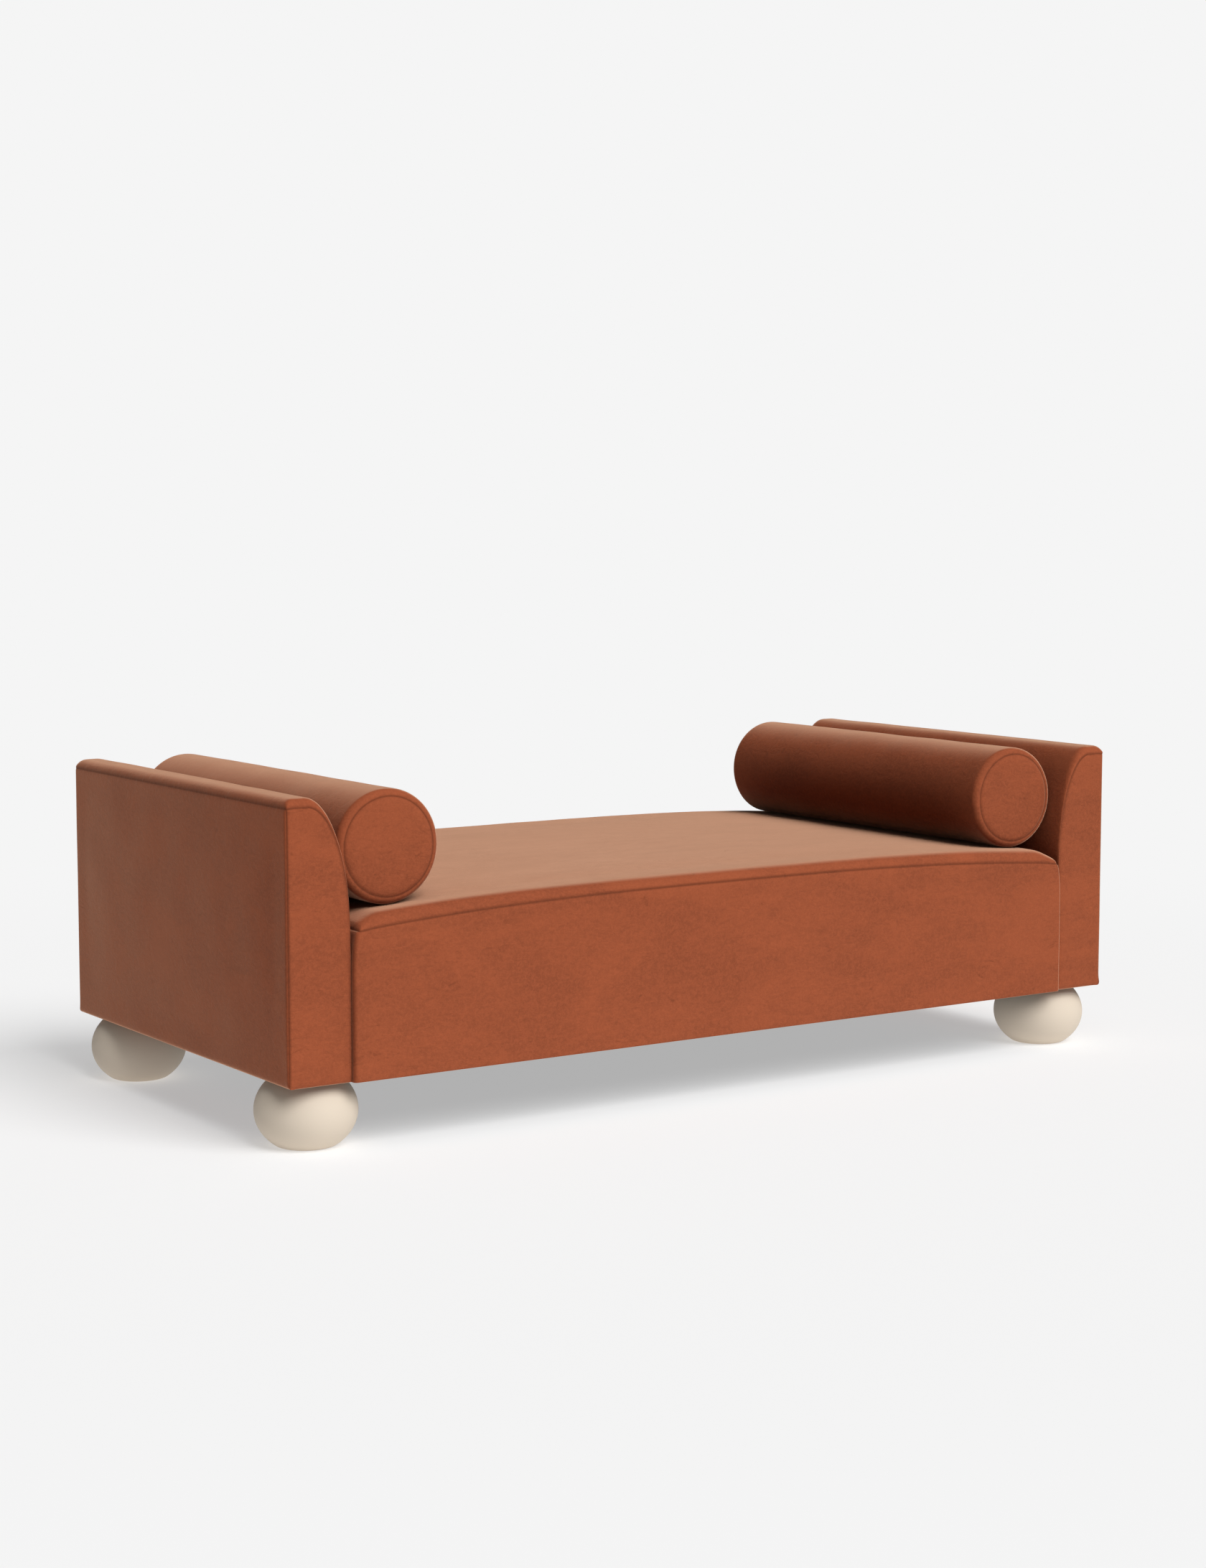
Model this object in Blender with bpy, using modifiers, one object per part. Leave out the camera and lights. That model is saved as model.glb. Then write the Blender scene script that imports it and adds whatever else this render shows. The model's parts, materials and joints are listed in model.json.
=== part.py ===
"""Upholstered daybed on four ball feet, with two loose bolster cushions.

Metres, +Z up. X runs along the length, -Y is the front, and the origin is on the floor at the middle
of the footprint. Wooden frames carry webbing and foam, sewn velvet panels cover them, and each foot
hangs on a threaded stud. Every sub-part is one object in the collection "daybed".
"""

from math import asin, atan2, cos, pi, radians, sin, sqrt

import bmesh
import bpy
from mathutils import Matrix, Vector

# Overall
LENGTH = 2.000  # over the outer faces of the two arms
DEPTH = 0.947  # over the arms, front to back
CLEARANCE = 0.1285  # floor to the underside of the frame, which is the height of a foot

# Cloth, foam, wood and the gaps between them
CLOTH = 0.002
SOFT_GAP = 0.0005  # between two soft pieces, or a soft piece and wood
WOOD_GAP = 0.0003  # between hard pieces that touch
BOARD = 0.018
RAIL = 0.022
OUTER_BOARD = 0.006
ARM_FOAM = 0.016
BOARD_RELIEF = 0.008  # kept clear behind the rounded edges of an arm
FOAM_RELIEF = 0.003  # the same for the foam behind the front and back seams
SEAT_RELIEF = 0.006  # the same for the seat's rails, foam and webbing behind its upright edges

# Arms: a slab whose inner face curves over to a soft top
ARM_WIDTH = 0.1305
ARM_SEAM_Z = 0.640  # the seam round the flat front and back panels
ARM_TOP_FLAT = 0.0445  # from the outer face to where the inner curve starts
ARM_CURVE_HEIGHT = 0.240  # how far down from the seam the inner face curves
ARM_TOP_BULGE = 0.019  # how far the padded top stands above the seam
ARM_INNER_BULGE = 0.004
ARM_EDGE = 0.020  # rounding along the outer top edge
ARM_ROLL = 0.016  # depth over which the padding rises from the front and back seams
TUCK_Z = 0.345  # where the covers are tucked in between the arm and the seat
TOP_RAIL_WIDTH = 0.036
BOTTOM_RAIL_HEIGHT = 0.032

# Seat: one crowned upholstered block between the arms
SEAT_PROUD = 0.012  # how far its front and back stand past the arms
SEAT_TOP_Z = 0.460
SEAT_TOP_DROP = 0.0235  # how far the crown falls from the middle to the ends
SEAT_TOP_POWER = 3.56
SEAT_SEAM_Z = 0.438
SEAT_SEAM_DROP = 0.029
SEAT_SEAM_POWER = 2.7
SEAT_ROLL = 0.030
SEAT_SEAM_CORNER = (0.060, 0.060)  # along X and Z, on the front and back panels
SEAT_TOP_CORNER = (0.100, 0.080)  # along X and Z, on the padded top
RAIL_TOP_Z = 0.318
WEBBING = 0.002
STRAP_WIDTH = 0.070
STRAPS_ACROSS = 9
STRAPS_ALONG = 4
DUST_COVER = 0.001

# Bolster cushions
BOLSTER_RADIUS = 0.108
BOLSTER_SETBACK = 0.0355  # from the arms' front and back to its end caps
BOLSTER_EDGE = 0.014  # rounding between the tube and its end caps
BOLSTER_TUCK = 0.0075  # how far it reaches past the arm's base, under the inner curve
BOLSTER_REST_GAP = 0.0008  # over the seat
ZIP_END = 0.088  # from the bolster's end caps to the zip
ZIP_WIDTH = 0.022
ZIP_COIL_WIDTH = 0.004
ZIP_COIL_HEIGHT = 0.0012
ZIP_ANGLE = radians(-40)  # from level, towards the arm and down
SLIDER_LENGTH = 0.012
SLIDER_WIDTH = 0.009
SLIDER_HEIGHT = 0.0036
SLIDER_PARK = 0.012  # from the back end of the zip to the slider's middle

# Ball feet and their studs
FOOT_RADIUS = 0.0973
FOOT_TOP_RADIUS = 0.065
FOOT_BASE_RADIUS = 0.055
FOOT_IN_X = 0.0883  # from the outer face of the arm to the foot's axis
FOOT_IN_Y = 0.1037
STUD_RADIUS = 0.005
STUD_IN_FOOT = 0.045
STUD_IN_RAIL = 0.028

# Bolts that hold the arms to the seat frame
BOLT_RADIUS = 0.004
BOLT_HEAD_RADIUS = 0.0085
BOLT_HEAD = 0.004
BOLT_Y = 0.260
BOLT_Z = 0.240
OVERRUN = 0.022  # how far a cutter stands out of what it cuts

FOOT_STEPS = 28
TUBE_STEPS = 36
SMALL_STEPS = 16
SLOT_STEPS = 4
ROLL_STEPS = 4
CURVE_STEPS = 12
CORNER_STEPS = 6
TOP_STEPS = 18

HALF_DEPTH = DEPTH / 2
SEAT_HALF_LENGTH = LENGTH / 2 - ARM_WIDTH - SOFT_GAP
SEAT_HALF_DEPTH = HALF_DEPTH + SEAT_PROUD
COVER = CLOTH + SOFT_GAP  # from an outer surface to what lies behind its cover
FOAM_COVER = COVER + FOAM_RELIEF
BOARD_BOTTOM = CLEARANCE + BOARD_RELIEF
BOLSTER_LENGTH = DEPTH - 2 * BOLSTER_SETBACK
ZIP_LENGTH = BOLSTER_LENGTH - 2 * ZIP_END
WOOD_INSET = COVER + ARM_FOAM + SOFT_GAP
BOARD_IN = COVER + OUTER_BOARD + WOOD_GAP  # from the outer face to the frame of the arm
FRAME_Z = CLEARANCE + DUST_COVER + WOOD_GAP
SIDES = (("left", -1), ("right", 1))
ENDS = (("front", -1), ("back", 1))

# Colour, roughness and metallic value of each finish
FINISHES = {
    "velvet": ((0.48, 0.15, 0.065, 1), 0.9, 0.0),
    "bleached_wood": ((0.72, 0.62, 0.50, 1), 0.6, 0.0),
    "frame_wood": ((0.62, 0.44, 0.26, 1), 0.7, 0.0),
    "foam": ((0.85, 0.80, 0.62, 1), 0.95, 0.0),
    "fibre_fill": ((0.88, 0.87, 0.84, 1), 0.95, 0.0),
    "webbing": ((0.12, 0.11, 0.10, 1), 0.9, 0.0),
    "dust_cloth": ((0.03, 0.03, 0.03, 1), 0.95, 0.0),
    "zip_tape": ((0.30, 0.10, 0.05, 1), 0.8, 0.0),
    "steel": ((0.60, 0.60, 0.60, 1), 0.35, 1.0),
}


def clear_scene():
    """Remove whatever objects the scene starts with."""
    for old in list(bpy.data.objects):
        bpy.data.objects.remove(old, do_unlink=True)


def new_collection(name):
    """A collection of that name, linked to the scene."""
    collection = bpy.data.collections.new(name)
    bpy.context.scene.collection.children.link(collection)
    return collection


def finish(name):
    """The Principled material for one finish, made once."""
    if name in bpy.data.materials:
        return bpy.data.materials[name]
    colour, roughness, metallic = FINISHES[name]
    material = bpy.data.materials.new(name)
    material.use_nodes = True
    shader = material.node_tree.nodes["Principled BSDF"]
    shader.inputs["Base Color"].default_value = colour
    shader.inputs["Roughness"].default_value = roughness
    shader.inputs["Metallic"].default_value = metallic
    return material


def add_object(name, data, material, collection):
    """Put a mesh or curve in its collection as one named sub-part."""
    item = bpy.data.objects.new(name, data)
    collection.objects.link(item)
    if material:
        data.materials.append(finish(material))
    return item


def add_box(name, low, high, material, collection):
    """A box between two opposite corners."""
    mesh = bpy.data.meshes.new(name)
    shape = bmesh.new()
    bmesh.ops.create_cube(shape, size=1)
    size = [high[k] - low[k] for k in range(3)]
    bmesh.ops.scale(shape, vec=size, verts=shape.verts)
    middle = [(high[k] + low[k]) / 2 for k in range(3)]
    bmesh.ops.translate(shape, vec=middle, verts=shape.verts)
    shape.to_mesh(mesh)
    shape.free()
    return add_object(name, mesh, material, collection)


def add_slab(name, outlines, y_low, y_high, material, collection):
    """Flat outlines in X and Z, the first with the rest as holes, drawn out from y_low to y_high."""
    curve = bpy.data.curves.new(name, "CURVE")
    curve.dimensions = "2D"
    curve.fill_mode = "BOTH"
    curve.extrude = (y_high - y_low) / 2
    for outline in outlines:
        spline = curve.splines.new("POLY")
        spline.points.add(len(outline) - 1)
        for point, (x, z) in zip(spline.points, outline):
            point.co = (x, z, 0, 1)
        spline.use_cyclic_u = True
    item = add_object(name, curve, material, collection)
    item.rotation_euler = (pi / 2, 0, 0)
    item.location = (0, (y_low + y_high) / 2, 0)
    return item


def add_turned(name, profile, steps, place, turn, material, collection, closed=False):
    """A profile of (radius, height) points turned about its own Z, then turned and placed."""
    mesh = bpy.data.meshes.new(name)
    shape = bmesh.new()
    points = [shape.verts.new((radius, 0, height)) for radius, height in profile]
    pairs = list(zip(points, points[1:]))
    if closed:
        pairs.append((points[-1], points[0]))
    for start, end in pairs:
        shape.edges.new((start, end))
    shape.to_mesh(mesh)
    shape.free()
    item = add_object(name, mesh, material, collection)
    item.location = place
    item.rotation_euler = turn
    screw = item.modifiers.new("turn", "SCREW")
    screw.steps = steps
    screw.render_steps = steps
    screw.use_merge_vertices = True
    screw.merge_threshold = 0.0001
    screw.use_smooth_shade = True
    return item


def add_loft(name, sections, material, collection):
    """A closed body through rings of equally many points, from the front one to the back one."""
    mesh = bpy.data.meshes.new(name)
    shape = bmesh.new()
    rings = [[shape.verts.new(point) for point in section] for section in sections]
    count = len(rings[0])
    for ring, following in zip(rings, rings[1:]):
        for i in range(count):
            j = (i + 1) % count
            shape.faces.new((ring[i], ring[j], following[j], following[i]))
    shape.faces.new(reversed(rings[0]))
    shape.faces.new(rings[-1])
    bmesh.ops.recalc_face_normals(shape, faces=shape.faces)
    shape.to_mesh(mesh)
    shape.free()
    return add_object(name, mesh, material, collection)


def add_cutter(name, radius, start, end):
    """A cylinder along X or Z, hidden, that other pieces are drilled with."""
    mesh = bpy.data.meshes.new(name)
    shape = bmesh.new()
    way = Vector(end) - Vector(start)
    turn = Vector((0, 0, 1)).rotation_difference(way).to_matrix().to_4x4()
    place = Matrix.Translation((Vector(start) + Vector(end)) / 2)
    bmesh.ops.create_cone(shape, cap_ends=True, segments=SMALL_STEPS, radius1=radius, radius2=radius,
                          depth=way.length, matrix=place @ turn)
    shape.to_mesh(mesh)
    shape.free()
    return hide_cutter(add_object(name, mesh, None, CUTTERS))


def hide_cutter(item):
    """Show a cutter as wires, and leave it out of the finished object."""
    item.display_type = "WIRE"
    item.hide_render = True
    return item


def drill(item, cutter):
    """Cut one piece with a cutter."""
    cut = item.modifiers.new("cut_" + cutter.name, "BOOLEAN")
    cut.operation = "DIFFERENCE"
    cut.solver = "EXACT"
    cut.object = cutter


def quarter(steps):
    """Angles from nothing to a right angle."""
    return [pi / 2 * i / steps for i in range(steps + 1)]


def mix(low, high, share):
    """The value that lies a share of the way from low to high."""
    return low + (high - low) * share


def padding_stations(half_depth, roll):
    """(y, share of the bulge) from the front seam to the back seam, rising over the roll."""
    front = [(roll * (1 - cos(a)) - half_depth, sin(a)) for a in quarter(ROLL_STEPS)]
    return front + [(-y, share) for y, share in reversed(front)]


def trim_stations(stations, inset):
    """The same stations for a piece that starts and ends an inset further in."""
    limit = -stations[0][0] - inset
    return [(-limit, bulge_at(stations, -limit)),
            *[s for s in stations if abs(s[0]) < limit - SOFT_GAP],
            (limit, bulge_at(stations, limit))]


def bulge_at(stations, y):
    """The share of the bulge at y, in a straight line between two stations."""
    for (y0, share0), (y1, share1) in zip(stations, stations[1:]):
        if y0 <= y <= y1:
            return mix(share0, share1, (y - y0) / (y1 - y0))
    return 0.0


def arm_x(side, inward):
    """X at a distance inward from the outer face of an arm."""
    return side * (LENGTH / 2 - inward)


def arm_line(share, inset):
    """(distance inward, z) from the outer top seam, over the top and down the inner face."""
    top = ARM_TOP_BULGE * share - inset
    edge = [(ARM_EDGE - (ARM_EDGE - inset) * cos(a), ARM_SEAM_Z + top * sin(a))
            for a in quarter(CORNER_STEPS)]
    foot = ARM_SEAM_Z - ARM_CURVE_HEIGHT
    width = ARM_WIDTH - ARM_TOP_FLAT - inset
    curve = [(ARM_TOP_FLAT + (width + ARM_INNER_BULGE * share * sin(a)) * cos(a),
              foot + (ARM_CURVE_HEIGHT + top) * sin(a)) for a in reversed(quarter(CURVE_STEPS))]
    return edge + curve + [(ARM_WIDTH - inset, TUCK_Z)]


def arm_wrap(name, side, stations, outer_inset, inner_inset, material):
    """A layer that wraps over the top and the inner face of an arm."""
    sections = []
    for y, share in stations:
        line = arm_line(share, outer_inset) + arm_line(share, inner_inset)[::-1]
        sections.append([(arm_x(side, inward), y, z) for inward, z in line])
    return add_loft(name, sections, material, PARTS)


def arm_outline(side, outer, inset, bottom):
    """The closed outline of a flat panel or board of an arm, in X and Z."""
    foot = ARM_SEAM_Z - ARM_CURVE_HEIGHT
    width = ARM_WIDTH - ARM_TOP_FLAT - inset
    curve = [(ARM_TOP_FLAT + width * cos(a), foot + (ARM_CURVE_HEIGHT - inset) * sin(a))
             for a in reversed(quarter(CURVE_STEPS))]
    line = [(outer, bottom), (outer, ARM_SEAM_Z - inset), *curve, (ARM_WIDTH - inset, bottom)]
    return [(arm_x(side, inward), z) for inward, z in line]


def arm_box(name, side, inward, y_range, z_range, material):
    """A box in an arm, between two distances inward from its outer face."""
    x_low, x_high = sorted((arm_x(side, inward[0]), arm_x(side, inward[1])))
    return add_box(name, (x_low, y_range[0], z_range[0]), (x_high, y_range[1], z_range[1]),
                   material, PARTS)


def build_arm_frame(name, side):
    """The boards and rails inside an arm. Returns the two rails that get drilled."""
    inner = HALF_DEPTH - COVER
    for end, way in ENDS:
        y_low, y_high = sorted((way * inner, way * (inner - BOARD)))
        outline = arm_outline(side, BOARD_IN, WOOD_INSET, BOARD_BOTTOM)
        add_slab(f"{name}_{end}_board", [outline], y_low, y_high, "frame_wood", PARTS)
    between = inner - BOARD - WOOD_GAP
    span = (-between, between)
    top = ARM_SEAM_Z - WOOD_INSET
    arm_box(f"{name}_top_rail", side, (BOARD_IN, BOARD_IN + TOP_RAIL_WIDTH), span,
            (top - RAIL, top), "frame_wood")
    outer_reach = inner - BOARD_RELIEF
    arm_box(f"{name}_outer_board", side, (COVER, COVER + OUTER_BOARD), (-outer_reach, outer_reach),
            (BOARD_BOTTOM, ARM_SEAM_Z - COVER - FOAM_RELIEF), "frame_wood")
    bottom_top = CLEARANCE + WOOD_GAP + BOTTOM_RAIL_HEIGHT
    bottom_rail = arm_box(f"{name}_bottom_rail", side, (BOARD_IN, ARM_WIDTH - WOOD_GAP), span,
                          (CLEARANCE + WOOD_GAP, bottom_top), "frame_wood")
    joint_rail = arm_box(f"{name}_joint_rail", side, (ARM_WIDTH - RAIL, ARM_WIDTH), span,
                         (bottom_top + WOOD_GAP, RAIL_TOP_Z), "frame_wood")
    return bottom_rail, joint_rail


def build_arm_soft(name, side):
    """The foam and the four velvet panels of an arm."""
    stations = padding_stations(HALF_DEPTH, ARM_ROLL)
    arm_wrap(f"{name}_top_cover", side, stations, 0, CLOTH, "velvet")
    arm_wrap(f"{name}_foam", side, trim_stations(stations, FOAM_COVER), COVER, COVER + ARM_FOAM,
             "foam")
    arm_box(f"{name}_outer_cover", side, (0, CLOTH), (-HALF_DEPTH, HALF_DEPTH),
            (CLEARANCE, ARM_SEAM_Z - SOFT_GAP), "velvet")
    for end, way in ENDS:
        y_low, y_high = sorted((way * HALF_DEPTH, way * (HALF_DEPTH - CLOTH)))
        outline = arm_outline(side, COVER, COVER, CLEARANCE)
        add_slab(f"{name}_{end}_cover", [outline], y_low, y_high, "velvet", PARTS)


def seat_top(x):
    """Height of the padded seat at x, away from its rounded ends."""
    return SEAT_TOP_Z - SEAT_TOP_DROP * (abs(x) / SEAT_HALF_LENGTH) ** SEAT_TOP_POWER


def seat_seam(x):
    """Height of the seam along the front and back panels at x."""
    return SEAT_SEAM_Z - SEAT_SEAM_DROP * (abs(x) / SEAT_HALF_LENGTH) ** SEAT_SEAM_POWER


def seat_line(share, inset, bottom, relief=0.0):
    """(x, z) from the bottom of the left end, over the crown, to the right end, drawn in by a relief."""
    corner_x = mix(SEAT_SEAM_CORNER[0], SEAT_TOP_CORNER[0], share)
    corner_z = mix(SEAT_SEAM_CORNER[1], SEAT_TOP_CORNER[1], share)
    flat = SEAT_HALF_LENGTH - corner_x
    level = mix(seat_seam(flat), seat_top(flat), share) - corner_z
    corner = [(flat + (corner_x - inset - relief) * cos(a), level + (corner_z - inset) * sin(a))
              for a in quarter(CORNER_STEPS)]
    xs = [flat * (1 - 2 * i / TOP_STEPS) for i in range(1, TOP_STEPS)]
    crown = [(x, mix(seat_seam(x), seat_top(x), share) - inset) for x in xs]
    right = [(SEAT_HALF_LENGTH - inset - relief, bottom), *corner]
    left = [(-x, z) for x, z in reversed(right)]
    return (right + crown + left)[::-1]


def build_seat_soft():
    """The seat's foam, its three velvet panels and the cloth under it."""
    stations = padding_stations(SEAT_HALF_DEPTH, SEAT_ROLL)
    sections = [[(x, y, z) for x, z in
                 seat_line(share, 0, TUCK_Z) + seat_line(share, CLOTH, TUCK_Z)[::-1]]
                for y, share in stations]
    add_loft("seat_top_cover", sections, "velvet", PARTS)
    foam_bottom = RAIL_TOP_Z + WEBBING + 2 * WOOD_GAP
    layers = trim_stations(stations, COVER)
    reliefs = [SEAT_RELIEF, *[0.0] * (len(layers) - 2), SEAT_RELIEF]
    sections = [[(x, y, z) for x, z in seat_line(share, COVER, foam_bottom, relief)]
                for (y, share), relief in zip(layers, reliefs)]
    add_loft("seat_foam", sections, "foam", PARTS)
    for end, way in ENDS:
        y_low, y_high = sorted((way * SEAT_HALF_DEPTH, way * (SEAT_HALF_DEPTH - CLOTH)))
        outline = seat_line(0, COVER, CLEARANCE)
        add_slab(f"seat_{end}_cover", [outline], y_low, y_high, "velvet", PARTS)
    reach_x = SEAT_HALF_LENGTH - COVER
    reach_y = SEAT_HALF_DEPTH - COVER
    add_box("seat_dust_cover", (-reach_x, -reach_y, CLEARANCE),
            (reach_x, reach_y, CLEARANCE + DUST_COVER), "dust_cloth", PARTS)


def build_seat_frame():
    """The seat's rails and webbing. Returns the two end rails, which get drilled."""
    reach = SEAT_HALF_DEPTH - COVER
    inside = reach - RAIL - WOOD_GAP
    rail_x = SEAT_HALF_LENGTH - COVER - SEAT_RELIEF
    for end, way in ENDS:
        y_low, y_high = sorted((way * reach, way * (reach - RAIL)))
        add_box(f"seat_{end}_rail", (-rail_x, y_low, FRAME_Z), (rail_x, y_high, RAIL_TOP_Z),
                "frame_wood", PARTS)
    add_box("seat_cross_rail", (-RAIL / 2, -inside, FRAME_Z), (RAIL / 2, inside, RAIL_TOP_Z),
            "frame_wood", PARTS)
    end_rails = []
    for name, side in SIDES:
        x_low, x_high = sorted((side * SEAT_HALF_LENGTH, side * (SEAT_HALF_LENGTH - RAIL)))
        end_rails.append(add_box(f"seat_{name}_end_rail", (x_low, -inside, FRAME_Z),
                                 (x_high, inside, RAIL_TOP_Z), "frame_wood", PARTS))
    build_webbing(rail_x, reach - SEAT_RELIEF)
    return end_rails


def strap_windows(reach, straps):
    """The openings between evenly spaced straps, from -reach to reach."""
    opening = (2 * reach - straps * STRAP_WIDTH) / (straps - 1)
    starts = [i * (opening + STRAP_WIDTH) + STRAP_WIDTH - reach for i in range(straps - 1)]
    return [(start, start + opening) for start in starts]


def build_webbing(reach_x, reach_y):
    """Elastic straps woven both ways over the rails, as one mat with square openings."""
    mat = [[(-reach_x, -reach_y), (reach_x, -reach_y), (reach_x, reach_y), (-reach_x, reach_y)]]
    for x_low, x_high in strap_windows(reach_x, STRAPS_ACROSS):
        for y_low, y_high in strap_windows(reach_y, STRAPS_ALONG):
            mat.append([(x_low, y_low), (x_low, y_high), (x_high, y_high), (x_high, y_low)])
    item = add_slab("seat_webbing", mat, -WEBBING / 2, WEBBING / 2, "webbing", PARTS)
    item.rotation_euler = (0, 0, 0)
    item.location = (0, 0, RAIL_TOP_Z + WOOD_GAP + WEBBING / 2)


def build_foot(name, side, end, way, bottom_rail):
    """One ball foot and the stud that holds it up against the arm's bottom rail."""
    place = (arm_x(side, FOOT_IN_X), way * (HALF_DEPTH - FOOT_IN_Y), 0)
    top_angle = asin(sqrt(1 - (FOOT_TOP_RADIUS / FOOT_RADIUS) ** 2))
    base_angle = asin(sqrt(1 - (FOOT_BASE_RADIUS / FOOT_RADIUS) ** 2))
    height = CLEARANCE - WOOD_GAP
    half_height = height / (sin(top_angle) + sin(base_angle))
    middle = half_height * sin(base_angle)
    turns = [mix(top_angle, -base_angle, i / CURVE_STEPS) for i in range(CURVE_STEPS + 1)]
    ball = [(FOOT_RADIUS * cos(a), middle + half_height * sin(a)) for a in turns]
    bore = STUD_RADIUS + WOOD_GAP
    bore_end = height - STUD_IN_FOOT
    profile = [(0, bore_end), (bore, bore_end), (bore, height), *ball, (0, 0)]
    add_turned(f"foot_{end}_{name}_ball", profile, FOOT_STEPS, place, (0, 0, 0), "bleached_wood",
               PARTS)
    low, high = bore_end + WOOD_GAP, CLEARANCE + STUD_IN_RAIL
    stud = [(0, high), (STUD_RADIUS, high), (STUD_RADIUS, low), (0, low)]
    add_turned(f"foot_{end}_{name}_stud", stud, SMALL_STEPS, place, (0, 0, 0), "steel", PARTS)
    start = Vector(place) + Vector((0, 0, CLEARANCE - OVERRUN))
    stop = Vector(place) + Vector((0, 0, CLEARANCE + BOTTOM_RAIL_HEIGHT + OVERRUN))
    drill(bottom_rail, add_cutter(f"cut_stud_{end}_{name}", bore + WOOD_GAP, start, stop))


def build_bolt(name, side, end, way, rails):
    """A bolt from inside the seat frame through its end rail and the arm's joint rail."""
    y = way * BOLT_Y
    head = SEAT_HALF_LENGTH - RAIL - WOOD_GAP
    grip = LENGTH / 2 - ARM_WIDTH + RAIL + BOLT_HEAD - head
    profile = [(0, BOLT_HEAD), (BOLT_HEAD_RADIUS, BOLT_HEAD), (BOLT_HEAD_RADIUS, 0),
               (BOLT_RADIUS, 0), (BOLT_RADIUS, -grip), (0, -grip)]
    add_turned(f"bolt_{end}_{name}", profile, SMALL_STEPS, (side * head, y, BOLT_Z),
               (0, -side * pi / 2, 0), "steel", PARTS)
    start = (side * (head - OVERRUN), y, BOLT_Z)
    stop = (side * (head + grip + OVERRUN), y, BOLT_Z)
    cutter = add_cutter(f"cut_bolt_{end}_{name}", BOLT_RADIUS + 2 * WOOD_GAP, start, stop)
    for rail in rails:
        drill(rail, cutter)


def bolster_line(inset, trim=0.0):
    """(radius, distance along) of a layer of a bolster, from one end to the other."""
    straight = BOLSTER_LENGTH / 2 - BOLSTER_EDGE
    last = asin((BOLSTER_EDGE - trim) / BOLSTER_EDGE)
    turns = [last * i / ROLL_STEPS for i in range(ROLL_STEPS, -1, -1)]
    edge = [(BOLSTER_RADIUS - BOLSTER_EDGE * (1 - cos(a)) - inset, straight + BOLSTER_EDGE * sin(a))
            for a in turns]
    return edge + [(radius, -along) for radius, along in reversed(edge)]


def ring_sector(middle, low, high, half_width):
    """The outline of a curved strip at an angle round the bolster, between two radii."""
    reach = half_width / BOLSTER_RADIUS
    angles = [middle + mix(-reach, reach, i / SLOT_STEPS) for i in range(SLOT_STEPS + 1)]
    outside = [(high * cos(a), high * sin(a)) for a in angles]
    inside = [(low * cos(a), low * sin(a)) for a in reversed(angles)]
    return outside + inside


def strip_with_coil(middle, low, high):
    """The outline of the zip's tape, with its coil raised along the middle."""
    half_tape = ZIP_WIDTH / 2 / BOLSTER_RADIUS
    half_coil = ZIP_COIL_WIDTH / 2 / BOLSTER_RADIUS
    steps = [(-half_tape, high), (-half_coil, high), (-half_coil, high + ZIP_COIL_HEIGHT),
             (half_coil, high + ZIP_COIL_HEIGHT), (half_coil, high), (half_tape, high),
             (half_tape, low), (0, low), (-half_tape, low)]
    return [(radius * cos(middle + turn), radius * sin(middle + turn)) for turn, radius in steps]


def slider_outline(middle):
    """A zip slider's section: a small bridge over the coil."""
    floor = BOLSTER_RADIUS + WOOD_GAP
    roof = floor + SLIDER_HEIGHT
    groove = BOLSTER_RADIUS + ZIP_COIL_HEIGHT + WOOD_GAP
    half = SLIDER_WIDTH / 2
    inner = ZIP_COIL_WIDTH / 2 + WOOD_GAP
    points = [(floor, -half), (roof, -half), (roof, half), (floor, half), (floor, inner),
              (groove, inner), (groove, -inner), (floor, -inner)]
    return [(out * cos(middle) - across * sin(middle), out * sin(middle) + across * cos(middle))
            for out, across in points]


def place_outline(outline, x, z):
    """An outline moved to a bolster's axis."""
    return [(x + px, z + pz) for px, pz in outline]


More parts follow.
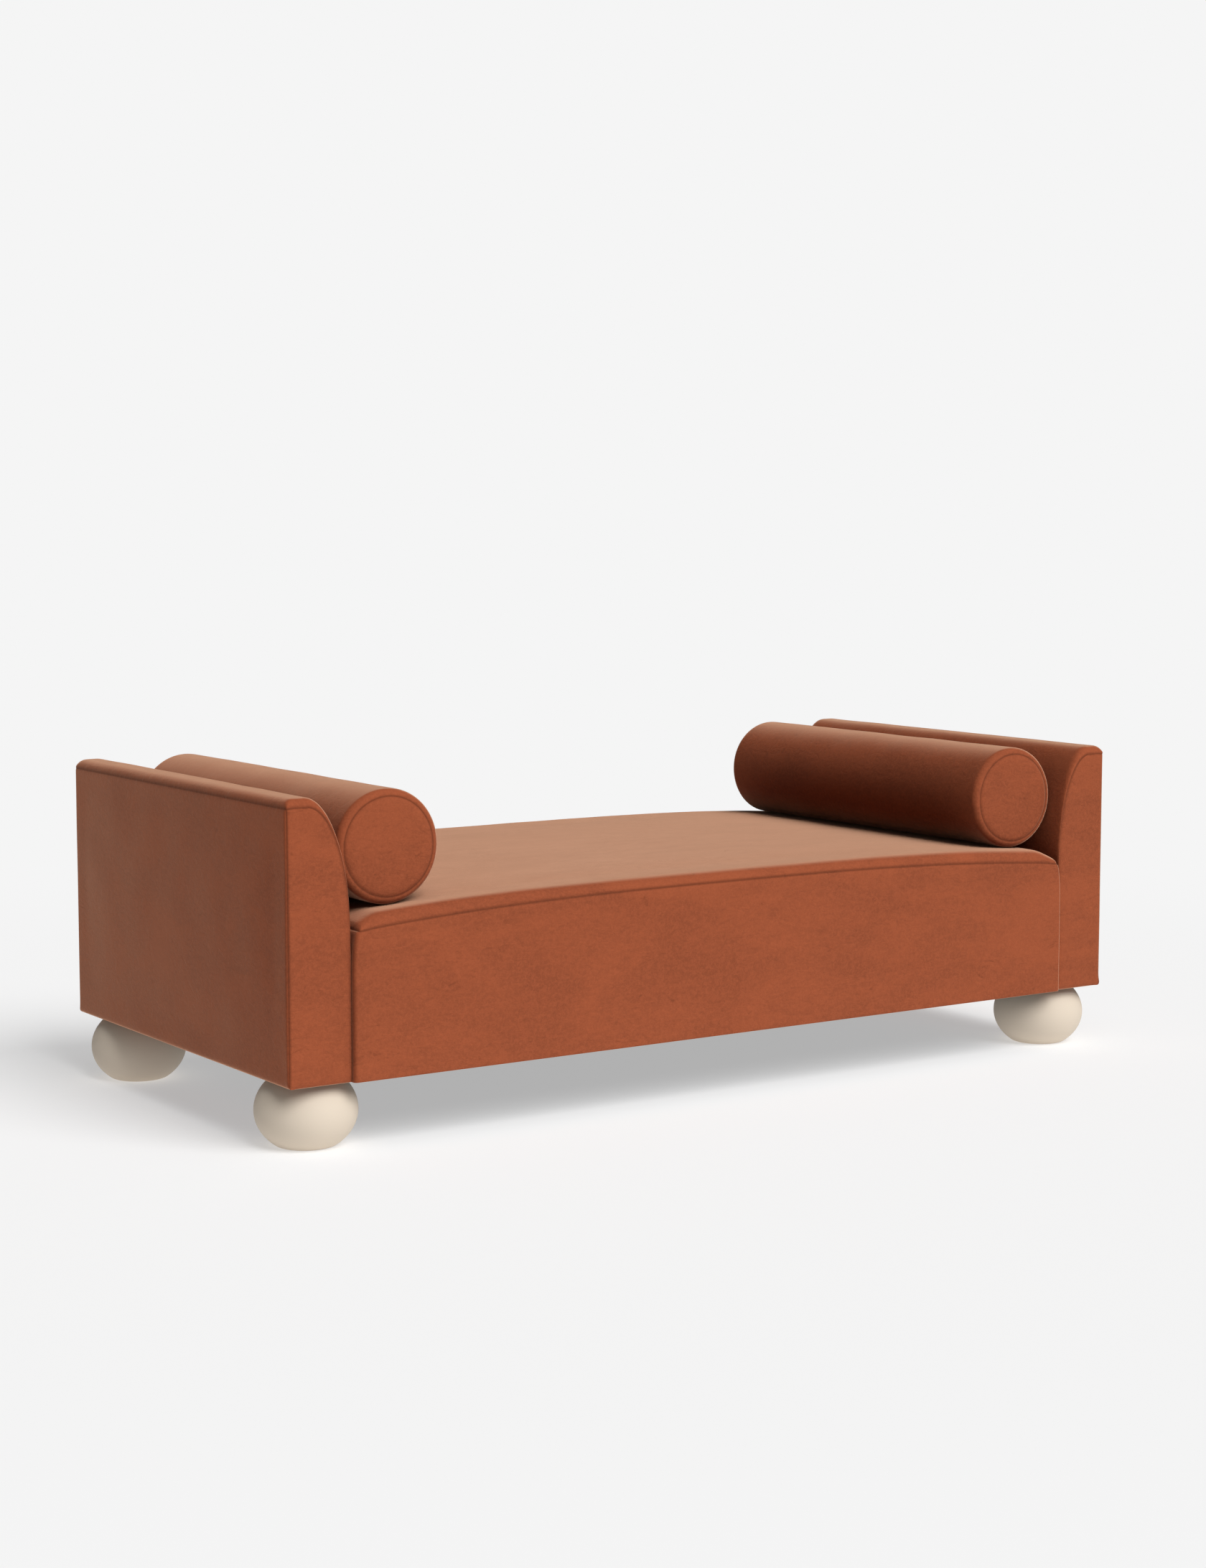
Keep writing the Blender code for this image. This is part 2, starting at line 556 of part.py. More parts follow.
def build_bolster(name, side):
    """One loose bolster: its fill, tube, end caps, zip and slider."""
    reach = LENGTH / 2 - ARM_WIDTH + BOLSTER_TUCK - BOLSTER_RADIUS
    step = SOFT_GAP
    slope = atan2(seat_top(reach - step) - seat_top(reach + step), 2 * step)
    axis_z = seat_top(reach) + (BOLSTER_RADIUS + BOLSTER_REST_GAP) / cos(slope)
    place = (side * reach, 0, axis_z)
    lie_down = (pi / 2, 0, 0)
    half = BOLSTER_LENGTH / 2
    tube = add_turned(f"bolster_{name}_tube", bolster_line(0) + bolster_line(CLOTH)[::-1],
                      TUBE_STEPS, place, lie_down, "velvet", PARTS, closed=True)
    fill = [(0, half - COVER), *bolster_line(COVER, COVER), (0, COVER - half)]
    add_turned(f"bolster_{name}_fill", fill, TUBE_STEPS, place, lie_down, "fibre_fill", PARTS)
    cap_radius = BOLSTER_RADIUS - BOLSTER_EDGE - COVER
    for end, way in ENDS:
        near, far = sorted((-way * half, -way * (half - CLOTH)), reverse=True)
        add_turned(f"bolster_{name}_{end}_cap",
                   [(0, near), (cap_radius, near), (cap_radius, far), (0, far)],
                   TUBE_STEPS, place, lie_down, "velvet", PARTS)
    middle = ZIP_ANGLE if side > 0 else pi - ZIP_ANGLE
    slot = ring_sector(middle, BOLSTER_RADIUS - 2 * CLOTH, BOLSTER_RADIUS + CLOTH,
                       ZIP_WIDTH / 2 + SOFT_GAP)
    slot = place_outline(slot, place[0], axis_z)
    drill(tube, slot_cutter(f"cut_zip_{name}", slot, ZIP_LENGTH / 2 + SOFT_GAP))
    tape = strip_with_coil(middle, BOLSTER_RADIUS - CLOTH + WOOD_GAP, BOLSTER_RADIUS)
    add_slab(f"bolster_{name}_zip", [place_outline(tape, place[0], axis_z)], -ZIP_LENGTH / 2,
             ZIP_LENGTH / 2, "zip_tape", PARTS)
    park = ZIP_LENGTH / 2 - SLIDER_PARK
    add_slab(f"bolster_{name}_zip_slider",
             [place_outline(slider_outline(middle), place[0], axis_z)],
             park - SLIDER_LENGTH / 2, park + SLIDER_LENGTH / 2, "steel", PARTS)


def slot_cutter(name, outline, half_length):
    """The hidden body that a bolster's zip opening is cut with."""
    sections = [[(x, y, z) for x, z in outline] for y in (-half_length, half_length)]
    return hide_cutter(add_loft(name, sections, None, CUTTERS))


def build_daybed():
    """Every sub-part, from the seat outwards."""
    build_seat_soft()
    seat_end_rails = build_seat_frame()
    for (name, side), end_rail in zip(SIDES, seat_end_rails):
        arm = f"arm_{name}"
        bottom_rail, joint_rail = build_arm_frame(arm, side)
        build_arm_soft(arm, side)
        for end, way in ENDS:
            build_foot(name, side, end, way, bottom_rail)
            build_bolt(name, side, end, way, (end_rail, joint_rail))
        build_bolster(name, side)


clear_scene()
PARTS = new_collection("daybed")
CUTTERS = new_collection("daybed_cutters")
build_daybed()
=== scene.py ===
"""Looks of a velvet daybed: padded seat and arms, bolsters with zips, turned ball feet and a studio.

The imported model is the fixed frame. Padded pieces are shaped from the frame's own sizes, swollen by a
short cloth simulation between their seams, and dressed with procedural finishes. Metres, +Z up, -Y is
the front.
"""

import json
import logging
from dataclasses import dataclass, field
from enum import Enum
from math import asin, cos, exp, pi, radians, sin, sqrt, tanh
from typing import Any, Callable, Iterable, Optional, Sequence

import bmesh
import bpy
from mathutils import Matrix, Vector, noise
from mathutils.kdtree import KDTree


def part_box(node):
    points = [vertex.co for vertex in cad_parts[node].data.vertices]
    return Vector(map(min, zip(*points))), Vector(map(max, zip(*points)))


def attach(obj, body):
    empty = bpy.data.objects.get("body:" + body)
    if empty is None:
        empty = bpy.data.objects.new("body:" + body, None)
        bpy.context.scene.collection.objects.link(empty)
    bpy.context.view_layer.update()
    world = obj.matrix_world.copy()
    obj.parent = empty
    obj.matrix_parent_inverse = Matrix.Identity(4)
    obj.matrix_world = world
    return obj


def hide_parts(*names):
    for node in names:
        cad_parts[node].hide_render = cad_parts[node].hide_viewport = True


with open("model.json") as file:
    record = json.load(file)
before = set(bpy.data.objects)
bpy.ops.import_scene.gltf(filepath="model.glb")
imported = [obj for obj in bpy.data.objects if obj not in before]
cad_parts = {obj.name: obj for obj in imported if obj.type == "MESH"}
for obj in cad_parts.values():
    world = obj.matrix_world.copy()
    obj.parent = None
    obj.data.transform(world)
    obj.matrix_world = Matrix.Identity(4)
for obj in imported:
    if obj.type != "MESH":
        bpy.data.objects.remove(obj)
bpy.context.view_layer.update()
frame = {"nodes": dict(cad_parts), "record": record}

LOG = logging.getLogger("daybed")
MERGE = 1e-5
Colour = tuple[float, float, float, float]
Point = tuple[float, float, float]


class Side(Enum):
    """The two ends of the daybed along its length."""

    LEFT = -1
    RIGHT = 1

    @property
    def label(self) -> str:
        """The word used in names."""
        return self.name.lower()


class End(Enum):
    """The front and the back of the daybed."""

    FRONT = -1
    BACK = 1

    @property
    def label(self) -> str:
        """The word used in names."""
        return self.name.lower()


class Slot(Enum):
    """Material slots of the record."""

    VELVET = "velvet"
    BALL_WOOD = "bleached_wood"
    FRAME_WOOD = "frame_wood"
    FOAM = "foam"
    FIBRE = "fibre_fill"
    WEBBING = "webbing"
    DUST_CLOTH = "dust_cloth"
    ZIP_TAPE = "zip_tape"
    STEEL = "steel"


class Band(Enum):
    """Directions that a streaked pattern can run in, as the stretch of each axis."""

    LENGTH = (0.12, 1.0, 1.0)
    DEPTH = (1.0, 0.12, 1.0)
    HEIGHT = (1.0, 1.0, 0.12)


# Shader graphs ------------------------------------------------------------------------------------


class Graph:
    """Adds nodes to one shader tree and links them by their inputs."""

    def __init__(self, tree: bpy.types.NodeTree) -> None:
        """Keeps the tree.

        Args:
            tree: the node tree of a material, a world or a group.
        """
        self.tree = tree

    def node(self, kind: str, feeds: Optional[dict[Any, Any]] = None, **settings: Any) -> bpy.types.Node:
        """Adds one node.

        Args:
            kind: the node's type, without ShaderNode.
            feeds: what goes into each input, a value or another node's output.
            **settings: the node's own properties.

        Returns:
            The new node.
        """
        node = self.tree.nodes.new("ShaderNode" + kind)
        for key, value in settings.items():
            setattr(node, key, value)
        for key, value in (feeds or {}).items():
            if isinstance(value, bpy.types.NodeSocket):
                self.tree.links.new(value, node.inputs[key])
            else:
                node.inputs[key].default_value = value
        return node

    def math(self, operation: str, first: Any, second: Any = 0.0,
             clamp: bool = False) -> bpy.types.NodeSocket:
        """The result of one Math node.

        Args:
            operation: the operation's name, such as MULTIPLY.
            first: a number or an output.
            second: a number or an output.
            clamp: whether the result is kept from 0 to 1.

        Returns:
            The output of the node.
        """
        return self.node("Math", {0: first, 1: second}, operation=operation, use_clamp=clamp).outputs[0]

    def noise(self, where: Any, scale: float, detail: float = 2.0, roughness: float = 0.5,
              distortion: float = 0.0) -> bpy.types.NodeSocket:
        """A noise value.

        Args:
            where: the coordinates.
            scale: cycles per metre.
            detail: how many finer octaves are added.
            roughness: how strong the finer octaves are.
            distortion: how far the pattern is bent by itself.

        Returns:
            The Fac output.
        """
        feeds = {"Vector": where, "Scale": scale, "Detail": detail, "Roughness": roughness,
                 "Distortion": distortion}
        return self.node("TexNoise", feeds).outputs[0]

    def spread(self, value: Any, low: float, high: float, start: float = 0.0, stop: float = 1.0) -> Any:
        """Maps a value from low to high onto start to stop, clamped, with smooth ends.

        Args:
            value: the output to map.
            low: where the result is start.
            high: where the result is stop.
            start: the result at low.
            stop: the result at high.

        Returns:
            The mapped output.
        """
        feeds = {"Value": value, "From Min": low, "From Max": high, "To Min": start, "To Max": stop}
        return self.node("MapRange", feeds, interpolation_type="SMOOTHSTEP").outputs[0]

    def blend(self, share: Any, first: Any, second: Any, mode: str = "MIX") -> bpy.types.NodeSocket:
        """Mixes two colours.

        Args:
            share: how much of the second colour, a number or an output.
            first: the first colour.
            second: the second colour.
            mode: the blend type.

        Returns:
            The mixed colour.
        """
        feeds = {0: share, 6: first, 7: second}
        return self.node("Mix", feeds, data_type="RGBA", blend_type=mode).outputs[2]

    def stretched(self, where: Any, stretch: Point) -> bpy.types.NodeSocket:
        """Coordinates scaled by axis, so that a noise on them runs in streaks.

        Args:
            where: the coordinates.
            stretch: the scale of each axis, small along the streaks.

        Returns:
            The scaled coordinates.
        """
        return self.node("Mapping", {"Vector": where, "Scale": stretch}).outputs[0]

    def bump(self, height: Any, strength: float, distance: float,
             normal: Any = None) -> bpy.types.NodeSocket:
        """A bumped normal.

        Args:
            height: the height, from 0 to 1.
            strength: the share of the effect.
            distance: what a height of 1 stands for, in metres.
            normal: a normal that this one is laid over.

        Returns:
            The Normal output.
        """
        feeds = {"Height": height, "Strength": strength, "Distance": distance}
        if normal is not None:
            feeds["Normal"] = normal
        return self.node("Bump", feeds).outputs[0]


def shader_group(name: str, inputs: dict[str, float], outputs: Sequence[str],
                 fill: Callable[[Graph, Any, Any], dict[str, Any]]) -> bpy.types.NodeTree:
    """Builds a shader node group once, and finds it again afterwards.

    Args:
        name: the group's name.
        inputs: each value input and its default.
        outputs: the names of the value outputs.
        fill: makes the group's nodes from the graph, the coordinates and the inputs, and gives what
            goes to each output.

    Returns:
        The node group, whose first input is the coordinates.
    """
    if name in bpy.data.node_groups:
        return bpy.data.node_groups[name]
    tree = bpy.data.node_groups.new(name, "ShaderNodeTree")
    tree.interface.new_socket(name="Vector", in_out="INPUT", socket_type="NodeSocketVector")
    for label, value in inputs.items():
        socket = tree.interface.new_socket(name=label, in_out="INPUT", socket_type="NodeSocketFloat")
        socket.default_value = value
    for label in outputs:
        tree.interface.new_socket(name=label, in_out="OUTPUT", socket_type="NodeSocketFloat")
    start = tree.nodes.new("NodeGroupInput")
    stop = tree.nodes.new("NodeGroupOutput")
    for label, value in fill(Graph(tree), start.outputs["Vector"], start.outputs).items():
        tree.links.new(value, stop.inputs[label])
    return tree


class Effect(Enum):
    """Effects that several finishes share, each a shader node group."""

    MOTTLE = "soft_mottle"
    PILE = "pile_grain"
    STREAK = "drawn_streaks"
    WEAVE = "plain_weave"
    GRAIN = "timber_grain"

    def tree(self) -> bpy.types.NodeTree:
        """The effect's node group."""
        makers = {Effect.MOTTLE: mottle_group, Effect.PILE: pile_group, Effect.STREAK: streak_group,
                  Effect.WEAVE: weave_group, Effect.GRAIN: grain_group}
        return makers[self]()

    def add(self, graph: Graph, where: Any, **values: float) -> bpy.types.Node:
        """Places the effect in a material.

        Args:
            graph: the material's graph.
            where: the coordinates.
            **values: the group's inputs by name, with spaces as underscores.

        Returns:
            The group node.
        """
        node = graph.node("Group", node_tree=self.tree())
        graph.tree.links.new(where, node.inputs["Vector"])
        for key, value in values.items():
            node.inputs[key.replace("_", " ")].default_value = value
        return node


def mottle_group() -> bpy.types.NodeTree:
    """Soft low-contrast patches and a few small smudges, as on a brushed nap."""
    def fill(graph: Graph, where: Any, given: Any) -> dict[str, Any]:
        """Broad patches with finer ones over them, and rare smudges."""
        broad = graph.noise(where, 1.0, 3.0, 0.55, 0.6)
        fine = graph.noise(where, 1.0, 4.0, 0.65, 1.4)
        for value, label in ((broad, "Scale"), (fine, "Fine Scale")):
            graph.tree.links.new(given[label], value.node.inputs["Scale"])
        patches = graph.math("ADD", graph.math("MULTIPLY", broad, 0.6), graph.math("MULTIPLY", fine, 0.4))
        spot = graph.noise(where, 1.0, 3.0, 0.6, 2.2)
        graph.tree.links.new(graph.math("MULTIPLY", given["Fine Scale"], 0.55), spot.node.inputs["Scale"])
        return {"Patches": graph.spread(patches, 0.34, 0.66), "Smudges": graph.spread(spot, 0.62, 0.76)}
    return shader_group(Effect.MOTTLE.value, {"Scale": 9.0, "Fine Scale": 40.0}, ("Patches", "Smudges"),
                        fill)


def pile_group() -> bpy.types.NodeTree:
    """The fine grain of cut pile: tiny tufts, and clumps that lean together."""
    def fill(graph: Graph, where: Any, given: Any) -> dict[str, Any]:
        """Tufts from fine noise and clumps from noise a few times coarser."""
        tufts = graph.noise(where, 1.0, 2.0, 0.7)
        clumps = graph.noise(where, 1.0, 3.0, 0.6, 0.8)
        graph.tree.links.new(given["Scale"], tufts.node.inputs["Scale"])
        graph.tree.links.new(graph.math("MULTIPLY", given["Scale"], 0.28), clumps.node.inputs["Scale"])
        both = graph.math("ADD", graph.math("MULTIPLY", tufts, 0.5), graph.math("MULTIPLY", clumps, 0.5))
        return {"Height": both, "Tufts": graph.spread(both, 0.36, 0.64)}
    return shader_group(Effect.PILE.value, {"Scale": 900.0}, ("Height", "Tufts"), fill)


def streak_group() -> bpy.types.NodeTree:
    """Faint streaks where a hand or a tool was drawn along the surface."""
    def fill(graph: Graph, where: Any, given: Any) -> dict[str, Any]:
        """Two noises on coordinates that are already stretched."""
        wide = graph.noise(where, 1.0, 3.0, 0.6, 0.3)
        thin = graph.noise(where, 1.0, 2.0, 0.5)
        graph.tree.links.new(given["Scale"], wide.node.inputs["Scale"])
        graph.tree.links.new(graph.math("MULTIPLY", given["Scale"], 3.7), thin.node.inputs["Scale"])
        both = graph.math("ADD", graph.math("MULTIPLY", wide, 0.65), graph.math("MULTIPLY", thin, 0.35))
        return {"Streaks": graph.spread(both, 0.33, 0.67)}
    return shader_group(Effect.STREAK.value, {"Scale": 30.0}, ("Streaks",), fill)


def weave_group() -> bpy.types.NodeTree:
    """A plain weave of round yarns over and under each other, in the XY plane of its coordinates."""
    def fill(graph: Graph, where: Any, given: Any) -> dict[str, Any]:
        """Two sine ridges, each raised where their product's sign says it lies on top."""
        parts = graph.node("SeparateXYZ", {0: where})
        waves = []
        for axis in (0, 1):
            turns = graph.math("MULTIPLY", graph.math("MULTIPLY", parts.outputs[axis], given["Threads"]), pi)
            waves.append(graph.math("SINE", turns))
        ridge = [graph.math("ABSOLUTE", wave) for wave in waves]
        over = graph.math("GREATER_THAN", graph.math("MULTIPLY", waves[0], waves[1]), 0.0)
        first = graph.math("MULTIPLY", ridge[0], graph.math("ADD", graph.math("MULTIPLY", over, 0.5), 0.5))
        under = graph.math("SUBTRACT", 1.0, over)
        second = graph.math("MULTIPLY", ridge[1], graph.math("ADD", graph.math("MULTIPLY", under, 0.5), 0.5))
        return {"Height": graph.math("MAXIMUM", first, second), "Over": over}
    return shader_group(Effect.WEAVE.value, {"Threads": 600.0}, ("Height", "Over"), fill)


def grain_group() -> bpy.types.NodeTree:
    """Timber: wavy growth lines across Z, fine pores along the lines and a few short dark flecks."""
    def fill(graph: Graph, where: Any, given: Any) -> dict[str, Any]:
        """Growth lines from a bent wave, pores and flecks from noise drawn out along the lines."""
        bent = graph.noise(where, 7.0, 3.0, 0.6, 0.5)
        rise = graph.node("SeparateXYZ", {0: where}).outputs[2]
        shifted = graph.math("ADD", rise, graph.math("MULTIPLY", bent, given["Waviness"]))
        turns = graph.math("MULTIPLY", graph.math("MULTIPLY", shifted, given["Lines"]), 2 * pi)
        lines = graph.math("ADD", graph.math("MULTIPLY", graph.math("SINE", turns), 0.5), 0.5)
        level = graph.node("CombineXYZ", {2: shifted}).outputs[0]
        along = graph.node("VectorMath", {0: graph.stretched(where, (0.07, 0.07, 0.0)), 1: level},
                           operation="ADD").outputs[0]
        broad = graph.noise(along, 150.0, 3.0, 0.6)
        pores = graph.noise(along, 330.0, 3.0, 0.7)
        short = graph.node("VectorMath", {0: graph.stretched(where, (0.30, 0.30, 0.0)), 1: level},
                           operation="ADD").outputs[0]
        flecks = graph.noise(short, 210.0, 2.0, 0.5, 0.3)
        patches = graph.noise(where, 16.0, 3.0, 0.6, 0.5)
        return {"Lines": graph.math("MULTIPLY", lines, graph.spread(broad, 0.44, 0.57)),
                "Pores": graph.spread(pores, 0.45, 0.58), "Flecks": graph.spread(flecks, 0.70, 0.76),
                "Patches": graph.spread(patches, 0.35, 0.65)}
    return shader_group(Effect.GRAIN.value, {"Lines": 90.0, "Waviness": 0.05},
                        ("Lines", "Pores", "Flecks", "Patches"), fill)


# Finishes -----------------------------------------------------------------------------------------


def shade(colour: Colour, factor: float) -> Colour:
    """A colour made lighter or darker by a factor."""
    return (*(min(1.0, part * factor) for part in colour[:3]), 1.0)


@dataclass(frozen=True)
class Finish:
    """A procedural material with one Principled shader.

    Attributes:
        name: the material's name.
        colour: the main colour, linear.
        roughness: the mean roughness.
        slot: the record's slot that it belongs to; not used.
    """

    name: str
    colour: Colour
    roughness: float
    slot: Slot

    def material(self) -> bpy.types.Material:
        """The material, built the first time it is asked for."""
        if self.name in bpy.data.materials:
            return bpy.data.materials[self.name]
        material = bpy.data.materials.new(self.name)
        material.use_nodes = True
        material.diffuse_color = self.colour
        graph = Graph(material.node_tree)
        shader = material.node_tree.nodes["Principled BSDF"]
        shader.inputs["Base Color"].default_value = self.colour
        shader.inputs["Roughness"].default_value = self.roughness
        where = graph.node("TexCoord").outputs["Object"]
        for label, value in self.looks(graph, where).items():
            if isinstance(value, bpy.types.NodeSocket):
                graph.tree.links.new(value, shader.inputs[label])
            else:
                shader.inputs[label].default_value = value
        return material

    def looks(self, graph: Graph, where: Any) -> dict[str, Any]:
        """What goes into the Principled shader.

        Args:
            graph: the material's graph.
            where: Object coordinates.

        Returns:
            A value or an output for each input of the shader.
        """
        raise NotImplementedError


@dataclass(frozen=True)
class Velvet(Finish):
    """Short-pile velvet with a brushed nap, its base colour paled at grazing view angles as painted sheen.

    Attributes:
        band: the way that the nap was brushed.
        grazing_colour: painted sheen, the pale colour that the base colour turns to at grazing view angles.
        grazing_start: how far a surface has to turn from the view before the painted sheen starts, from 0 to
            1.
        streaks: how much the brushing shows.
        trapped: share of the light passed on to other surfaces that the pile keeps in.
        sheen: the sheen's weight.
        sheen_tint: the sheen's colour.
        sheen_roughness: how far the sheen spreads from grazing.
        seam_shade: how much painted shade darkens the seams.
        pucker: height of the gathers beside a seam.
        patch_tones: how dark and how pale the broad patches get, as factors of the colour.
        smudges: how much the rare smudges show.
        smudge_tone: their factor of the colour.
        clumps: how much the clumps of pile show.
        clump_tone: their factor of the colour.
        tufts: how much the single tufts show.
        tuft_tone: their factor of the colour.
    """

    band: Band = Band.LENGTH
    grazing_colour: Colour = (0.80, 0.430, 0.270, 1.0)
    grazing_start: float = 0.45
    streaks: float = 0.20
    trapped: float = 0.55
    sheen: float = 0.5
    sheen_tint: Colour = (1.0, 0.66, 0.46, 1.0)
    sheen_roughness: float = 0.30
    seam_shade: float = 0.62
    pucker: float = 0.0008
    patch_tones: tuple[float, float] = (0.86, 1.15)
    smudges: float = 0.50
    smudge_tone: float = 0.52
    clumps: float = 0.55
    clump_tone: float = 1.30
    tufts: float = 0.30
    tuft_tone: float = 0.72

    def looks(self, graph: Graph, where: Any) -> dict[str, Any]:
        """Mottled pile with painted sheen at grazing angles and painted shade in the seams, with gathers
        beside them.
        """
        drawn_out = graph.stretched(where, (0.55, 0.8, 1.25))
        mottle = Effect.MOTTLE.add(graph, drawn_out, Scale=7.0, Fine_Scale=46.0)
        pile = Effect.PILE.add(graph, where, Scale=900.0)
        clumps = graph.spread(graph.noise(where, 170.0, 4.0, 0.75, 0.6), 0.40, 0.62)
        drawn = Effect.STREAK.add(graph, graph.stretched(where, self.band.value), Scale=34.0)
        seam = graph.node("Attribute", attribute_name="seam").outputs["Fac"]
        near = graph.node("Attribute", attribute_name="near_seam").outputs["Fac"]
        dark, pale = (shade(self.colour, factor) for factor in self.patch_tones)
        tone = graph.blend(mottle.outputs["Patches"], dark, pale)
        for mask, share, factor in ((mottle.outputs["Smudges"], self.smudges, self.smudge_tone),
                                    (clumps, self.clumps, self.clump_tone),
                                    (pile.outputs["Tufts"], self.tufts, self.tuft_tone)):
            tone = graph.blend(graph.math("MULTIPLY", mask, share), tone, shade(self.colour, factor))
        # Painted sheen: the base colour turns pale, with streaks and patches, as the surface turns from the
        # view.
        facing = graph.node("LayerWeight", {"Blend": 0.5}).outputs["Facing"]
        pale = graph.blend(graph.math("MULTIPLY", drawn.outputs["Streaks"], self.streaks),
                           self.grazing_colour, shade(self.grazing_colour, 1.25))
        pale = graph.blend(graph.math("MULTIPLY", mottle.outputs["Patches"], 0.22), pale,
                           shade(self.grazing_colour, 0.75))
        tone = graph.blend(graph.spread(facing, self.grazing_start, 1.0), tone, pale)
        # Painted shade in the seam grooves, from the seam mask.
        tone = graph.blend(graph.math("MULTIPLY", seam, self.seam_shade), tone,
                           shade(self.colour, 0.30))
        passed_on = graph.node("LightPath").outputs["Is Diffuse Ray"]
        tone = graph.blend(graph.math("MULTIPLY", passed_on, self.trapped), tone, (0, 0, 0, 1))
        gathers = graph.noise(where, 70.0, 2.0, 0.5, 0.4)
        normal = graph.bump(graph.math("MULTIPLY", gathers, near), 1.0, self.pucker)
        normal = graph.bump(mottle.outputs["Patches"], 0.55, 0.0015, normal)
        normal = graph.bump(drawn.outputs["Streaks"], self.streaks, 0.0006, normal)
        normal = graph.bump(pile.outputs["Height"], 0.55, 0.0009, normal)
        rough = graph.spread(mottle.outputs["Patches"], 0.0, 1.0, self.roughness - 0.06,
                             self.roughness + 0.05)
        return {"Base Color": tone, "Roughness": rough, "Normal": normal, "Specular IOR Level": 0.12,
                "Sheen Weight": self.sheen, "Sheen Tint": self.sheen_tint,
                "Sheen Roughness": self.sheen_roughness}


@dataclass(frozen=True)
class BleachedWood(Finish):
    """Pale limed hardwood under a dull lacquer, grain running level round the ball.

    Attributes:
        line_colour: the growth lines.
        fleck_colour: the short dark flecks.
        warm_colour: the warmer, darker colour of the patches and of the band near the floor.
        warm_height: how far up from the floor the wood turns darker and warmer.
        lines: how much the growth lines show.
        pores: how much the pores show.
        flecks: how much the flecks show.
    """

    line_colour: Colour = (0.66, 0.54, 0.41, 1.0)
    fleck_colour: Colour = (0.24, 0.17, 0.11, 1.0)
    warm_colour: Colour = (0.80, 0.68, 0.53, 1.0)
    warm_height: float = 0.035
    lines: float = 0.62
    pores: float = 0.34
    flecks: float = 0.75

    def looks(self, graph: Graph, where: Any) -> dict[str, Any]:
        """Faint level growth lines, limed pores and rare flecks."""
        grain = Effect.GRAIN.add(graph, where, Lines=125.0, Waviness=0.05)
        rise = graph.node("SeparateXYZ", {0: where}).outputs[2]
        # Darker and warmer towards the floor, and in patches.
        warm = graph.math("ADD", graph.math("MULTIPLY", grain.outputs["Patches"], 0.30),
                          graph.spread(rise, 0.0, self.warm_height, 0.45, 0.0))
        tone = graph.blend(warm, self.colour, self.warm_colour)
        for mark, share, colour in (("Lines", self.lines, self.line_colour),
                                    ("Pores", self.pores, self.line_colour),
                                    ("Flecks", self.flecks, self.fleck_colour)):
            tone = graph.blend(graph.math("MULTIPLY", grain.outputs[mark], share), tone, colour)
        height = graph.math("SUBTRACT", 1.0, grain.outputs["Pores"])
        normal = graph.bump(height, 0.35, 0.0003)
        normal = graph.bump(grain.outputs["Lines"], 0.20, 0.0003, normal)
        rough = graph.spread(grain.outputs["Pores"], 0.0, 1.0, self.roughness - 0.07,
                             self.roughness + 0.10)
        return {"Base Color": tone, "Roughness": rough, "Normal": normal, "Specular IOR Level": 0.30}


@dataclass(frozen=True)
class FrameTimber(Finish):
    """Sawn softwood and ply inside the frame, with saw marks across the grain."""

    def looks(self, graph: Graph, where: Any) -> dict[str, Any]:
        """Strong growth lines, knots' shadows and saw marks."""
        grain = Effect.GRAIN.add(graph, where, Lines=110.0, Waviness=0.07)
        saw = Effect.STREAK.add(graph, graph.stretched(where, Band.HEIGHT.value), Scale=160.0)
        tone = graph.blend(grain.outputs["Patches"], shade(self.colour, 0.85), shade(self.colour, 1.10))
        tone = graph.blend(graph.math("MULTIPLY", grain.outputs["Lines"], 0.45), tone,
                           shade(self.colour, 0.62))
        tone = graph.blend(graph.math("MULTIPLY", grain.outputs["Flecks"], 0.50), tone,
                           shade(self.colour, 0.35))
        normal = graph.bump(saw.outputs["Streaks"], 0.5, 0.0004)
        normal = graph.bump(grain.outputs["Pores"], 0.4, 0.0003, normal)
        return {"Base Color": tone, "Normal": normal}


@dataclass(frozen=True)
class OpenCell(Finish):
    """Cut foam or loose fibre: cells or tangled fibres with small shadows between them.

    Attributes:
        cells: cells or fibres to the metre.
        depth: depth of the cells.
    """

    cells: float = 420.0
    depth: float = 0.0008

    def looks(self, graph: Graph, where: Any) -> dict[str, Any]:
        """Round cells from a Voronoi pattern with painted shade in their hollows, yellowed in patches."""
        feeds = {"Vector": where, "Scale": self.cells}
        cell = graph.node("TexVoronoi", feeds, feature="F1").outputs["Distance"]
        mottle = Effect.MOTTLE.add(graph, where, Scale=6.0, Fine_Scale=60.0)
        tone = graph.blend(mottle.outputs["Patches"], shade(self.colour, 0.88), shade(self.colour, 1.06))
        # Painted shade in the hollows of the cells.
        tone = graph.blend(graph.spread(cell, 0.35, 0.75, 0.0, 0.5), tone, shade(self.colour, 0.45))
        height = graph.math("SUBTRACT", 1.0, cell)
        return {"Base Color": tone, "Normal": graph.bump(height, 0.8, self.depth)}


